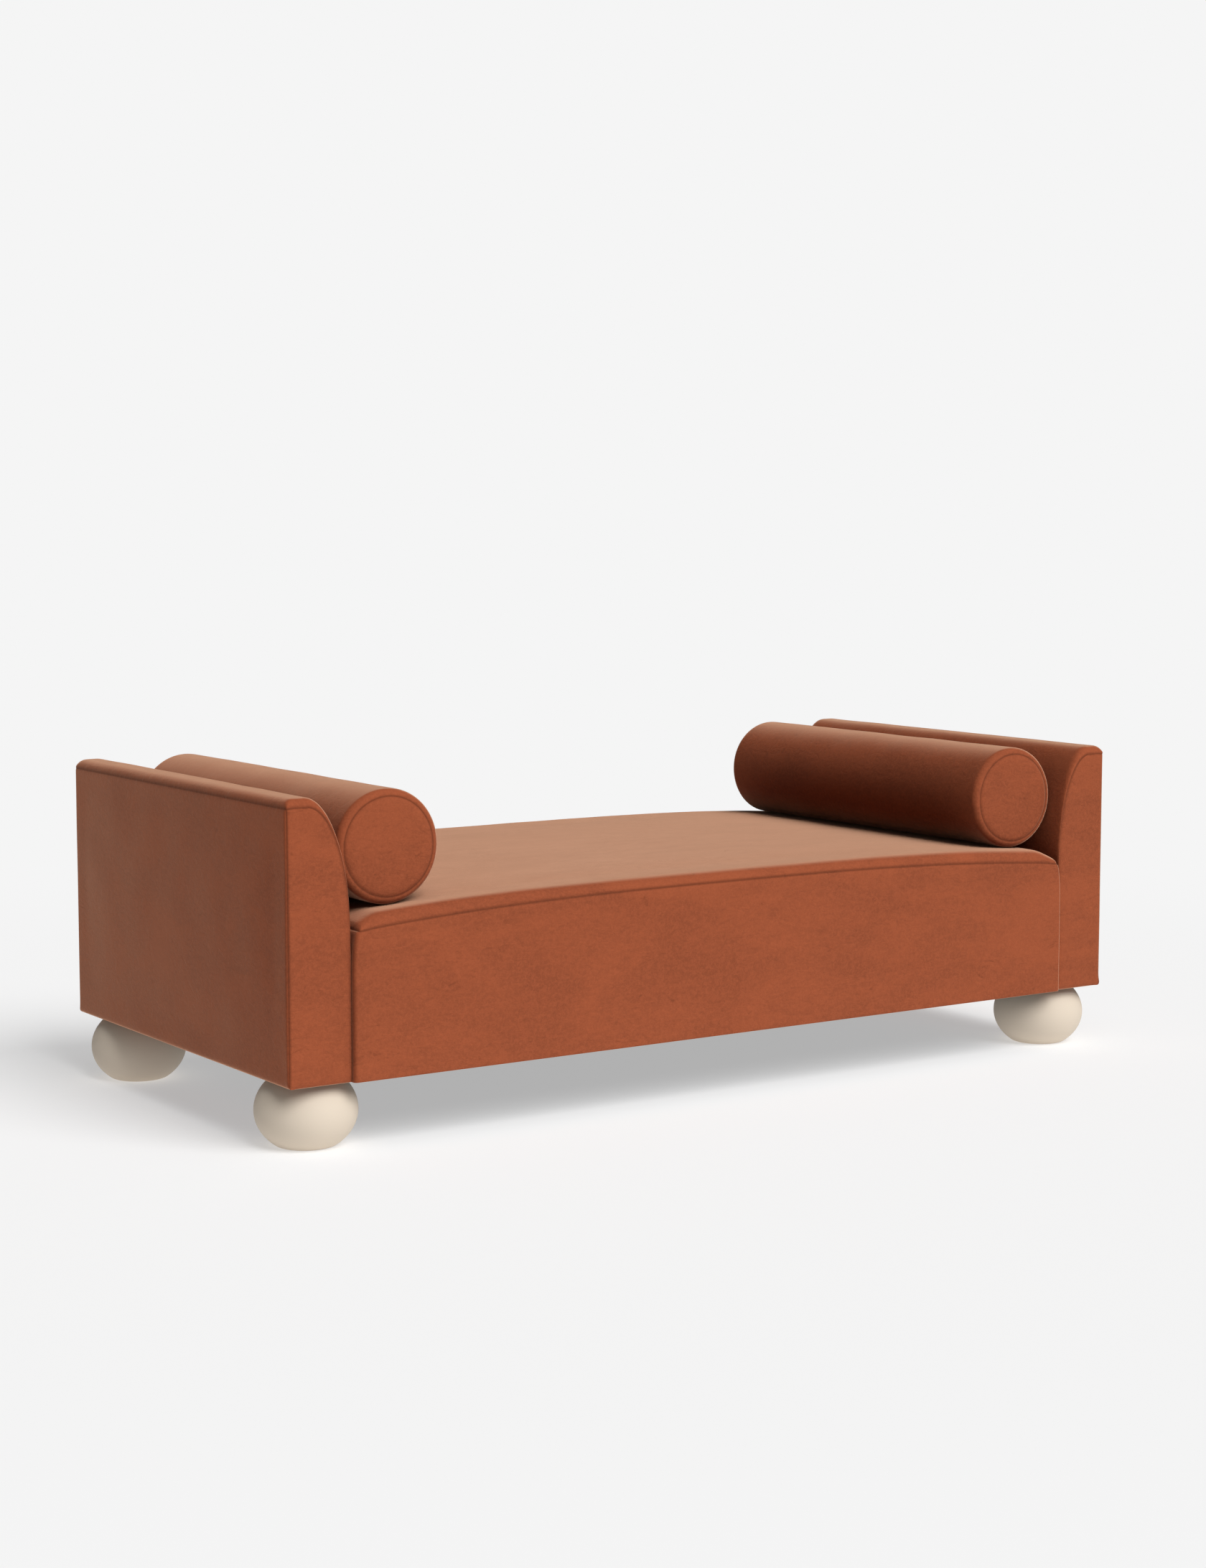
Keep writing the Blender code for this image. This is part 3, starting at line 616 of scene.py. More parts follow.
@dataclass(frozen=True)
class Woven(Finish):
    """Webbing, zip tape or lining: a plain weave with painted shade in the hollows between the yarns and
    worn crossings.

    Attributes:
        threads: threads to the metre.
        stripe: colour of stripes along the cloth.
        stripe_pitch: distance between the stripes, or 0 for none.
    """

    threads: float = 640.0
    stripe: Colour = (0.5, 0.5, 0.5, 1.0)
    stripe_pitch: float = 0.0

    def looks(self, graph: Graph, where: Any) -> dict[str, Any]:
        """Yarns with painted shade in the hollows between them, with stripes where the cloth has them."""
        weave = Effect.WEAVE.add(graph, where, Threads=self.threads)
        mottle = Effect.MOTTLE.add(graph, where, Scale=12.0, Fine_Scale=90.0)
        tone = graph.blend(mottle.outputs["Patches"], shade(self.colour, 0.80), shade(self.colour, 1.20))
        tone = graph.blend(weave.outputs["Over"], tone, shade(self.colour, 1.35))
        if self.stripe_pitch:
            across = graph.node("SeparateXYZ", {0: where}).outputs[1]
            turns = graph.math("MULTIPLY", across, 2 * pi / self.stripe_pitch)
            line = graph.spread(graph.math("COSINE", turns), 0.86, 0.92)
            tone = graph.blend(graph.math("MULTIPLY", line, 0.7), tone, self.stripe)
        # Painted shade in the hollows between the yarns.
        hollow = graph.spread(weave.outputs["Height"], 0.0, 0.5, 0.6, 0.0)
        tone = graph.blend(hollow, tone, shade(self.colour, 0.3))
        normal = graph.bump(weave.outputs["Height"], 0.8, 0.0005)
        return {"Base Color": tone, "Normal": normal, "Specular IOR Level": 0.2}


@dataclass(frozen=True)
class SpunCloth(Finish):
    """Black spun-bonded dust cloth with rows of small welded dots.

    Attributes:
        dots: dots to the metre.
    """

    dots: float = 420.0

    def looks(self, graph: Graph, where: Any) -> dict[str, Any]:
        """Tangled fibres and the pressed dots, with dust in the hollows."""
        fibres = graph.noise(where, 900.0, 4.0, 0.7, 1.5)
        feeds = {"Vector": where, "Scale": self.dots, "Randomness": 0.15}
        dot = graph.node("TexVoronoi", feeds, feature="F1").outputs["Distance"]
        mottle = Effect.MOTTLE.add(graph, where, Scale=5.0, Fine_Scale=30.0)
        tone = graph.blend(graph.spread(fibres, 0.35, 0.65), shade(self.colour, 0.7),
                           shade(self.colour, 1.7))
        tone = graph.blend(graph.math("MULTIPLY", mottle.outputs["Patches"], 0.25), tone,
                           shade(self.colour, 2.6))
        height = graph.math("ADD", graph.math("MULTIPLY", fibres, 0.4), graph.spread(dot, 0.15, 0.4))
        return {"Base Color": tone, "Normal": graph.bump(height, 0.7, 0.0004),
                "Specular IOR Level": 0.25}


@dataclass(frozen=True)
class ZincSteel(Finish):
    """Zinc-plated steel with fine scratches and duller patches."""

    def looks(self, graph: Graph, where: Any) -> dict[str, Any]:
        """Patchy plating and drawn scratches."""
        mottle = Effect.MOTTLE.add(graph, where, Scale=60.0, Fine_Scale=400.0)
        drawn = Effect.STREAK.add(graph, graph.stretched(where, Band.HEIGHT.value), Scale=900.0)
        tone = graph.blend(mottle.outputs["Patches"], shade(self.colour, 0.85), shade(self.colour, 1.10))
        rough = graph.spread(mottle.outputs["Patches"], 0.0, 1.0, self.roughness - 0.08,
                             self.roughness + 0.15)
        return {"Base Color": tone, "Roughness": rough, "Metallic": 1.0,
                "Normal": graph.bump(drawn.outputs["Streaks"], 0.3, 0.0001)}


VELVET_BASE = (0.305, 0.076, 0.031, 1.0)
FINISHES = {
    Slot.VELVET: Velvet("velvet_seat", VELVET_BASE, 0.90, Slot.VELVET),
    Slot.BALL_WOOD: BleachedWood("bleached_wood", (1.0, 0.965, 0.90, 1.0), 0.52, Slot.BALL_WOOD),
    Slot.FRAME_WOOD: FrameTimber("frame_timber", (0.60, 0.42, 0.24, 1.0), 0.72, Slot.FRAME_WOOD),
    Slot.FOAM: OpenCell("seat_foam", (0.84, 0.78, 0.58, 1.0), 0.92, Slot.FOAM),
    Slot.FIBRE: OpenCell("fibre_fill", (0.86, 0.85, 0.82, 1.0), 0.95, Slot.FIBRE, 260.0, 0.002),
    Slot.WEBBING: Woven("elastic_webbing", (0.10, 0.09, 0.08, 1.0), 0.85, Slot.WEBBING, 520.0,
                        (0.45, 0.40, 0.32, 1.0), 0.035),
    Slot.DUST_CLOTH: SpunCloth("spun_dust_cloth", (0.022, 0.022, 0.023, 1.0), 0.88, Slot.DUST_CLOTH),
    Slot.ZIP_TAPE: Woven("zip_tape", (0.22, 0.055, 0.022, 1.0), 0.80, Slot.ZIP_TAPE, 1400.0),
    Slot.STEEL: ZincSteel("zinc_steel", (0.62, 0.62, 0.60, 1.0), 0.32, Slot.STEEL),
}
ARM_VELVET = Velvet("velvet_arms", VELVET_BASE, 0.90, Slot.VELVET, band=Band.DEPTH, streaks=0.05)
BOLSTER_VELVET = Velvet("velvet_bolsters", VELVET_BASE, 0.90, Slot.VELVET, band=Band.DEPTH)
ZIP_COIL = ZincSteel("zip_coil", (0.30, 0.10, 0.05, 1.0), 0.45, Slot.ZIP_TAPE)


# Meshes -------------------------------------------------------------------------------------------


def steps(low: float, high: float, pitch: float) -> list[float]:
    """Evenly spaced stations from low to high, about a pitch apart."""
    count = max(1, round((high - low) / pitch))
    return [low + (high - low) * i / count for i in range(count + 1)]


def graded(low: float, high: float, pitch: float, near: Sequence[float]) -> list[float]:
    """Stations from low to high that crowd towards both ends.

    Args:
        low: the first station.
        high: the last station.
        pitch: the spacing in the middle.
        near: distances from each end at which there are extra stations, smallest first.

    Returns:
        The stations in order.
    """
    start = [low] + [low + step for step in near]
    stop = [high - step for step in reversed(near)] + [high]
    return start[:-1] + steps(start[-1], stop[0], pitch) + stop[1:]


def quarter_rise(share: float) -> float:
    """Height of a quarter circle at a share of its run, from 0 at its foot to 1 at its crown."""
    return sqrt(max(0.0, 1.0 - (1.0 - min(1.0, max(0.0, share))) ** 2))


def rounded(first: float, second: float, radius: float) -> tuple[float, float]:
    """Rounds the edge between two faces at a point on one of them.

    Args:
        first: the point's depth below the first face, 0 if it lies on it.
        second: its depth below the second face, 0 if it lies on it.
        radius: the edge's radius.

    Returns:
        The two depths once the edge is rounded, with the middle of the arc where both were 0.
    """
    if min(first, second) > MERGE or max(first, second) >= radius:
        return first, second
    half_turn = pi / 4 * max(first, second) / radius
    angle = pi / 4 + (half_turn if second > first else -half_turn)
    return radius * (1 - sin(angle)), radius * (1 - cos(angle))


def grid_block(across: Sequence[float], along: Sequence[float], up: Sequence[float],
               place: Callable[[float, float, float], Vector],
               on_seam: Callable[[float, float, float], bool],
               is_held: Callable[[float, float, float], bool]) -> bmesh.types.BMesh:
    """A closed block of quads with its grid lines at chosen stations, moved into shape.

    Args:
        across: stations along the block's first axis.
        along: stations along its second axis.
        up: stations along its third axis.
        place: where the vertex at three stations goes.
        on_seam: whether the vertex at three stations lies on a seam.
        is_held: whether it is held still while the piece swells.

    Returns:
        The block, with the layers on_seam and held on its vertices.
    """
    shape = bmesh.new()
    bmesh.ops.create_cube(shape, size=1.0)
    bmesh.ops.translate(shape, vec=(0.5, 0.5, 0.5), verts=shape.verts)
    lines = (across, along, up)
    for axis, line in enumerate(lines):
        rungs = [e for e in shape.edges if abs(e.verts[1].co[axis] - e.verts[0].co[axis]) > 0.5]
        bmesh.ops.subdivide_edges(shape, edges=rungs, cuts=len(line) - 2)
    seam = shape.verts.layers.float.new("on_seam")
    held = shape.verts.layers.float.new("held")
    for vert in shape.verts:
        spot = [line[round(part * (len(line) - 1))] for part, line in zip(vert.co, lines)]
        vert[seam] = float(on_seam(*spot))
        vert[held] = float(is_held(*spot))
        vert.co = place(*spot)
    face_outwards(shape)
    return shape


def face_outwards(shape: bmesh.types.BMesh) -> None:
    """Turns the faces of a closed shape outwards, checked by the sign of its volume."""
    bmesh.ops.recalc_face_normals(shape, faces=shape.faces)
    if shape.calc_volume(signed=True) < 0:
        bmesh.ops.reverse_faces(shape, faces=shape.faces)


def turned(profile: Sequence[tuple[float, float]], axis: Vector, centre: Vector,
           segments: int) -> bmesh.types.BMesh:
    """A closed turned body.

    Args:
        profile: (radius, distance along the axis) from one pole to the other.
        axis: the direction of the axis.
        centre: the point on the axis where the distance is 0.
        segments: steps in a full turn.

    Returns:
        The body, with its poles closed and its faces outwards.
    """
    shape = bmesh.new()
    out = axis.orthogonal().normalized()
    points = [shape.verts.new(out * radius + axis * along) for radius, along in profile]
    line = [shape.edges.new(pair) for pair in zip(points, points[1:])]
    bmesh.ops.spin(shape, geom=[*points, *line], cent=(0, 0, 0), axis=axis, dvec=(0, 0, 0),
                   angle=2 * pi, steps=segments, use_merge=True, use_duplicate=False)
    bmesh.ops.remove_doubles(shape, verts=shape.verts, dist=MERGE)
    face_outwards(shape)
    bmesh.ops.translate(shape, vec=centre, verts=shape.verts)
    return shape


def bevelled_block(size: Point, centre: Point, radius: float, turns: int = 3) -> bmesh.types.BMesh:
    """A block with all its edges rounded.

    Args:
        size: its length along each axis.
        centre: its middle.
        radius: the rounding of its edges.
        turns: segments in each rounding.

    Returns:
        The block.
    """
    shape = bmesh.new()
    bmesh.ops.create_cube(shape, size=1.0)
    bmesh.ops.scale(shape, vec=size, verts=shape.verts)
    bmesh.ops.bevel(shape, geom=shape.edges, offset=radius, offset_type="OFFSET", segments=turns,
                    profile=0.5, affect="EDGES", clamp_overlap=True, material=-1)
    bmesh.ops.translate(shape, vec=centre, verts=shape.verts)
    return shape


def finished(name: str, shape: bmesh.types.BMesh, finish: Finish, body: str,
             replaces: Iterable[str] = ()) -> bpy.types.Object:
    """Turns a shape into a dressed piece that rides on a body.

    Args:
        name: the piece's name.
        shape: its mesh, which is freed.
        finish: its material.
        body: the CAD body that it moves with.
        replaces: the CAD nodes that it stands for.

    Returns:
        The piece.
    """
    mesh = bpy.data.meshes.new(name)
    shape.to_mesh(mesh)
    shape.free()
    mesh.shade_smooth()
    piece = bpy.data.objects.new(name, mesh)
    bpy.context.scene.collection.objects.link(piece)
    mesh.materials.append(finish.material())
    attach(piece, body)
    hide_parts(*replaces)
    LOG.info("%s: %d faces on %s", name, len(mesh.polygons), body)
    return piece


@dataclass(frozen=True)
class Stuffing:
    """How a padded piece swells between its seams.

    Attributes:
        pressure: pressure in the cloth simulation.
        swell: how much smaller the start shape is, and how far a panel may end past its design.
        dip: how far it may end under its design.
        shy: distance from a seam over which the swelling fades in.
        groove: depth of the seams.
        groove_width: how far from a seam its groove reaches.
        ripple: height of the soft unevenness.
        ripple_size: size of the unevenness, in cycles per metre.
        fill: how full the piece is, from slack to tight; not used.
        last_frame: length of the simulation.
        quality: steps of the simulation in each frame.
        mass: mass of each vertex of the cloth.
        stretch: how hard the cloth resists being stretched or squeezed.
        bend: how hard it resists bending.
        open_share: fade above which a vertex counts as away from the seams.
        mark_share: reach of the painted shade in a seam, as a share of the groove's.
    """

    pressure: float = 4.0
    swell: float = 0.003
    dip: float = 0.0003
    shy: float = 0.030
    groove: float = 0.0016
    groove_width: float = 0.0024
    ripple: float = 0.0007
    ripple_size: float = 9.0
    fill: float = 0.9
    last_frame: int = 20
    quality: int = 4
    mass: float = 0.25
    stretch: float = 20.0
    bend: float = 2.0
    open_share: float = 0.95
    mark_share: float = 0.7

    def apply(self, piece: bpy.types.Object) -> None:
        """Swells a piece by cloth simulation, keeps it close to its design, and sinks its seams.

        Args:
            piece: a closed mesh with the attributes on_seam and held.
        """
        mesh = piece.data
        on_seam = [item.value for item in mesh.attributes["on_seam"].data]
        held = [item.value for item in mesh.attributes["held"].data]
        away = self.seam_distances(mesh, on_seam)
        fade = [quarter_rise(distance / self.shy) * (1.0 - fixed) for distance, fixed in zip(away, held)]
        design = [v.co.copy() for v in mesh.vertices]
        normals = [v.normal.copy() for v in mesh.vertices]
        offsets = [0.0] * len(design)
        for vertex, normal, share in zip(mesh.vertices, normals, fade):
            vertex.co -= normal * self.swell * share
        start = [v.co.copy() for v in mesh.vertices]
        travel = [(end - begin).dot(normal)
                  for end, begin, normal in zip(self.simulate(piece, on_seam, held), start, normals)]
        offsets = self.levelled(travel, fade)
        for i, vertex in enumerate(mesh.vertices):
            ripple = noise.noise(design[i] * self.ripple_size) * self.ripple * fade[i]
            sink = self.groove * exp(-(away[i] / self.groove_width) ** 2) * (1 - held[i])
            vertex.co = design[i] + normals[i] * (offsets[i] + ripple - sink)
        self.mark_seams(mesh, away)

    def levelled(self, travel: Sequence[float], fade: Sequence[float]) -> list[float]:
        """How far each vertex ends from its design, with the middle of the panels on it.

        Args:
            travel: how far each vertex swelled from the start shape, along its normal.
            fade: 0 at the seams and where the piece is held, 1 in the open.

        Returns:
            The offsets along the normals, from -dip to +swell at most.
        """
        free = sorted(way for way, share in zip(travel, fade) if share > self.open_share)
        typical = free[len(free) // 2]
        LOG.info("swelled %.1f mm in the middle, %.1f to %.1f mm", typical * 1000, free[0] * 1000,
                 free[-1] * 1000)
        offsets = []
        for way, share in zip(travel, fade):
            rise = (way - typical) / max(typical, self.swell) * self.swell * share
            limit = self.swell if rise > 0 else self.dip
            offsets.append(limit * tanh(rise / limit))
        return offsets

    @staticmethod
    def seam_distances(mesh: bpy.types.Mesh, on_seam: Sequence[float]) -> list[float]:
        """Each vertex's distance from the nearest vertex on a seam.

        Args:
            mesh: the piece's mesh.
            on_seam: 1 for the vertices on a seam.

        Returns:
            The distances, in the order of the vertices.
        """
        tree = KDTree(len(mesh.vertices))
        for vertex, mark in zip(mesh.vertices, on_seam):
            if mark > 0.5:
                tree.insert(vertex.co, vertex.index)
        tree.balance()
        return [tree.find(v.co)[2] for v in mesh.vertices]

    def simulate(self, piece: bpy.types.Object, on_seam: Sequence[float],
                 held: Sequence[float]) -> list[Vector]:
        """Runs the cloth simulation with the seams pinned.

        Args:
            piece: the piece in its start shape.
            on_seam: 1 for the vertices on a seam.
            held: 1 for other vertices that stay.

        Returns:
            Where each vertex ends.
        """
        pins = piece.vertex_groups.new(name="pins")
        pins.add([i for i, marks in enumerate(zip(on_seam, held)) if max(marks) > 0.5], 1.0, "REPLACE")
        cloth = piece.modifiers.new("swell", "CLOTH")
        cloth.settings.quality = self.quality
        cloth.settings.mass = self.mass
        cloth.settings.tension_stiffness = self.stretch
        cloth.settings.compression_stiffness = self.stretch
        cloth.settings.bending_stiffness = self.bend
        cloth.settings.use_pressure = True
        cloth.settings.uniform_pressure_force = self.pressure
        cloth.settings.effector_weights.gravity = 0
        cloth.settings.vertex_group_mass = pins.name
        cloth.collision_settings.use_collision = False
        cloth.point_cache.frame_start = 1
        cloth.point_cache.frame_end = self.last_frame
        scene = bpy.context.scene
        for moment in range(1, self.last_frame + 1):
            scene.frame_set(moment)
        shown = piece.evaluated_get(bpy.context.evaluated_depsgraph_get())
        ends = [v.co.copy() for v in shown.data.vertices]
        piece.modifiers.remove(cloth)
        piece.vertex_groups.remove(pins)
        scene.frame_set(1)
        return ends

    def mark_seams(self, mesh: bpy.types.Mesh, away: Sequence[float]) -> None:
        """Writes the masks for the painted shade in the seams and for the gathers beside them.

        Args:
            mesh: the piece's mesh.
            away: each vertex's distance from a seam.
        """
        for name, reach in (("seam", self.mark_share * self.groove_width), ("near_seam", self.shy)):
            mask = mesh.attributes.new(name, "FLOAT", "POINT")
            mask.data.foreach_set("value", [exp(-(distance / reach) ** 2) for distance in away])
        for name in ("on_seam", "held"):
            mesh.attributes.remove(mesh.attributes[name])


def smooth_out(piece: bpy.types.Object, levels: int = 1) -> None:
    """Finishes a piece with a subdivision surface."""
    rounder = piece.modifiers.new("smooth", "SUBSURF")
    rounder.levels = levels
    rounder.render_levels = levels


# Sub-assemblies -----------------------------------------------------------------------------------


@dataclass
class Seat:
    """The crowned seat block: a top panel sewn to a wall that wraps round the front and the ends.

    Attributes:
        crown_drop: how far the top falls from the middle to the ends.
        crown_power: how late it falls.
        seam_z: height of the seam at the middle.
        seam_drop: how far the seam falls to the ends.
        seam_power: how late it falls.
        roll: depth over which the padding rises from the front seam.
        end_roll: the same from the ends.
        corner: rounding of the vertical corners.
        bottom_edge: rounding of the bottom edges.
        lean: how far the end walls draw in at the seam.
        lean_height: height over which they draw in.
        underlap: gap from the underside to the dust cloth.
        pitch: spacing of the grid.
        near: extra stations beside the front and back edges.
        corner_turns: steps round a vertical corner.
        end_near: extra stations further in from the ends.
        stuffing: how it swells.
    """

    crown_drop: float = 0.0235
    crown_power: float = 3.56
    seam_z: float = 0.438
    seam_drop: float = 0.029
    seam_power: float = 2.7
    roll: float = 0.028
    end_roll: float = 0.050
    corner: float = 0.0075
    bottom_edge: float = 0.004
    lean: float = 0.011
    lean_height: float = 0.075
    underlap: float = 0.0008
    pitch: float = 0.018
    near: tuple[float, ...] = (0.0012, 0.003, 0.007, 0.013, 0.022, 0.034)
    corner_turns: int = 6
    end_near: tuple[float, ...] = (0.040, 0.056)
    stuffing: Stuffing = field(default_factory=lambda: Stuffing(swell=0.0035, fill=0.9))

    def __post_init__(self) -> None:
        """Takes the seat's outer sizes from the frame."""
        low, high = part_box("seat_top_cover")
        self.half_length, self.half_depth, self.top_z = high.x, high.y, high.z
        self.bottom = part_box("seat_front_cover")[0].z

    def top(self, x: float) -> float:
        """Height of the crowned top at x."""
        return self.top_z - self.crown_drop * (abs(x) / self.half_length) ** self.crown_power

    def seam(self, x: float) -> float:
        """Height of the seam at x."""
        return self.seam_z - self.seam_drop * (abs(x) / self.half_length) ** self.seam_power

    def place(self, x: float, y: float, height: float) -> Vector:
        """Where a grid vertex goes.

        Args:
            x: station along the length.
            y: station along the depth.
            height: station up the wall, from 0 at the bottom to 1 at the seam.

        Returns:
            The place of the vertex.
        """
        to_end = self.half_length - abs(x)
        to_front = self.half_depth - abs(y)
        seam = self.seam(x)
        z = self.bottom + self.underlap + (seam - self.bottom - self.underlap) * height
        if height >= 1.0:
            share = quarter_rise(to_front / self.roll) * quarter_rise(to_end / self.end_roll)
            z = seam + (self.top(x) - seam) * share
        below = min(seam - z, self.lean_height) if height < 1.0 else 0.0
        draw = self.lean * (1 - quarter_rise(below / self.lean_height))
        depth = self.half_depth - self.corner * (1 - quarter_rise(to_end / self.corner))
        new_x = abs(x) * (1 - draw / self.half_length)
        new_y = abs(y) * depth / self.half_depth
        sunk, above = rounded(depth - new_y, z - self.bottom - self.underlap, self.bottom_edge)
        new_y, z = depth - sunk, self.bottom + self.underlap + above
        return Vector((new_x if x > 0 else -new_x, new_y if y > 0 else -new_y, z))

    def build(self) -> bpy.types.Object:
        """The upholstered block, padded and dressed."""
        turns = self.corner_turns
        arc = [self.corner * (1 - cos(pi / 2 * i / turns)) for i in range(1, turns + 1)]
        across = graded(-self.half_length, self.half_length, self.pitch, [*arc, *self.end_near])
        along = graded(-self.half_depth, self.half_depth, self.pitch, self.near)
        wall = self.seam_z - self.bottom
        up = [z / wall for z in graded(0.0, wall, self.pitch, self.near[:4])]

        def on_seam(x: float, y: float, height: float) -> bool:
            """The seam runs round the top of the wall."""
            return height == 1.0 and (abs(y) == self.half_depth or abs(x) == self.half_length)

        def is_held(x: float, y: float, height: float) -> bool:
            """The underside and the walls against the arms stay."""
            return height == 0.0 or (abs(x) == self.half_length and height < 1.0)

        up[-1] = 1.0
        shape = grid_block(across, along, up, self.place, on_seam, is_held)
        piece = finished("seat_upholstery", shape, FINISHES[Slot.VELVET], "frame",
                         ("seat_top_cover", "seat_front_cover", "seat_back_cover"))
        self.stuffing.apply(piece)
        smooth_out(piece)
        return piece


@dataclass
class Arm:
    """One slab arm whose padded inner face curves over to its top.

    Attributes:
        side: which end it stands at.
        seam_z: height of the seam round the flat front and back panels.
        top_flat: from the outer face to where the inner curve starts.
        curve_height: how far down from the seam the inner face curves.
        inner_bulge: how far the inner band stands out.
        edge: rounding along the outer top edge.
        roll: depth over which the padding rises from the front seam.
        upright_edge: rounding of the outer upright edges.
        bottom_edge: rounding of the bottom edges.
        pitch: spacing of the grid.
        near: extra stations beside the front and back edges.
        foot_near: extra stations beside the ends of the straight lower part.
        shares: stations from the outer face, 0, to the inner face, 1.
        curve_turns: steps round the curve of the inner face.
        hidden_below: height station under which the seat hides the inner face.
        stuffing: how it swells.
    """

    side: Side
    seam_z: float = 0.640
    top_flat: float = 0.0445
    curve_height: float = 0.240
    inner_bulge: float = 0.004
    edge: float = 0.020
    roll: float = 0.016
    upright_edge: float = 0.007
    bottom_edge: float = 0.009
    pitch: float = 0.013
    near: tuple[float, ...] = (0.0012, 0.003, 0.006, 0.010, 0.016, 0.024)
    foot_near: tuple[float, ...] = (0.003, 0.007)
    shares: tuple[float, ...] = (0.0, 0.05, 0.12, 0.22, 0.34, 0.48, 0.62, 0.75, 0.86, 0.94, 0.99, 1.0)
    curve_turns: int = 24
    hidden_below: float = 0.9
    stuffing: Stuffing = field(default_factory=lambda: Stuffing(swell=0.0025, fill=0.95))

    def __post_init__(self) -> None:
        """Takes the arm's outer sizes from the frame."""
        low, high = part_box(f"arm_{self.side.label}_top_cover")
        self.outer = max(abs(low.x), abs(high.x))
        self.width = high.x - low.x
        self.half_depth = high.y
        self.top_bulge = high.z - self.seam_z
        self.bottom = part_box(f"arm_{self.side.label}_outer_cover")[0].z
        self.foot = self.seam_z - self.curve_height

    def place(self, share: float, y: float, row: float) -> Vector:
        """Where a grid vertex goes.

        Args:
            share: station from the outer face, 0, to the inner face, 1.
            y: station along the depth.
            row: height station, up to 1 below the curve and from 1 to 2 along its angle.

        Returns:
            The place of the vertex.
        """
        to_front = self.half_depth - abs(y)
        padding = quarter_rise(to_front / self.roll)
        angle = pi / 2 * max(0.0, row - 1.0)
        reach = self.top_flat + (self.width - self.top_flat
                                 + self.inner_bulge * padding * sin(angle)) * cos(angle)
        inward = share * reach
        rise = self.top_bulge * padding * quarter_rise(inward / self.edge)
        z = self.foot + (self.curve_height + rise) * sin(angle)
        if row < 1.0:
            z = self.bottom + (self.foot - self.bottom) * row
            inward, above = rounded(inward, z - self.bottom, self.bottom_edge)
            z = self.bottom + above
        to_front, above = rounded(to_front, z - self.bottom, self.bottom_edge)
        z = self.bottom + above
        inward, to_front = rounded(inward, to_front, self.upright_edge)
        new_y = self.half_depth - to_front
        return Vector((self.side.value * (self.outer - inward), new_y if y > 0 else -new_y, z))

    def build(self) -> bpy.types.Object:
        """The upholstered arm, padded and dressed."""
        along = graded(-self.half_depth, self.half_depth, self.pitch, self.near)
        straight = self.foot - self.bottom
        low_rows = [z / straight for z in graded(0.0, straight, self.pitch, self.foot_near)[:-1]]
        rows = low_rows + [1.0 + i / self.curve_turns for i in range(self.curve_turns + 1)]

        def on_seam(share: float, y: float, row: float) -> bool:
            """The seams border the flat front and back panels, and run along the outer top edge."""
            bordered = abs(y) == self.half_depth and (share in (0.0, 1.0) or row == 2.0)
            return bordered or (share == 0.0 and row == 2.0)

        def is_held(share: float, y: float, row: float) -> bool:
            """The underside and the hidden lower part of the inner face stay."""
            hidden = share == 1.0 and row < self.hidden_below and abs(y) < self.half_depth
            return row == 0.0 or hidden

        shape = grid_block(self.shares, along, rows, self.place, on_seam, is_held)
        name = f"arm_{self.side.label}"
        covers = [f"{name}_{part}_cover" for part in ("top", "outer", "front", "back")]
        piece = finished(f"{name}_upholstery", shape, ARM_VELVET, "frame", covers)
        self.stuffing.apply(piece)
        smooth_out(piece)
        return piece


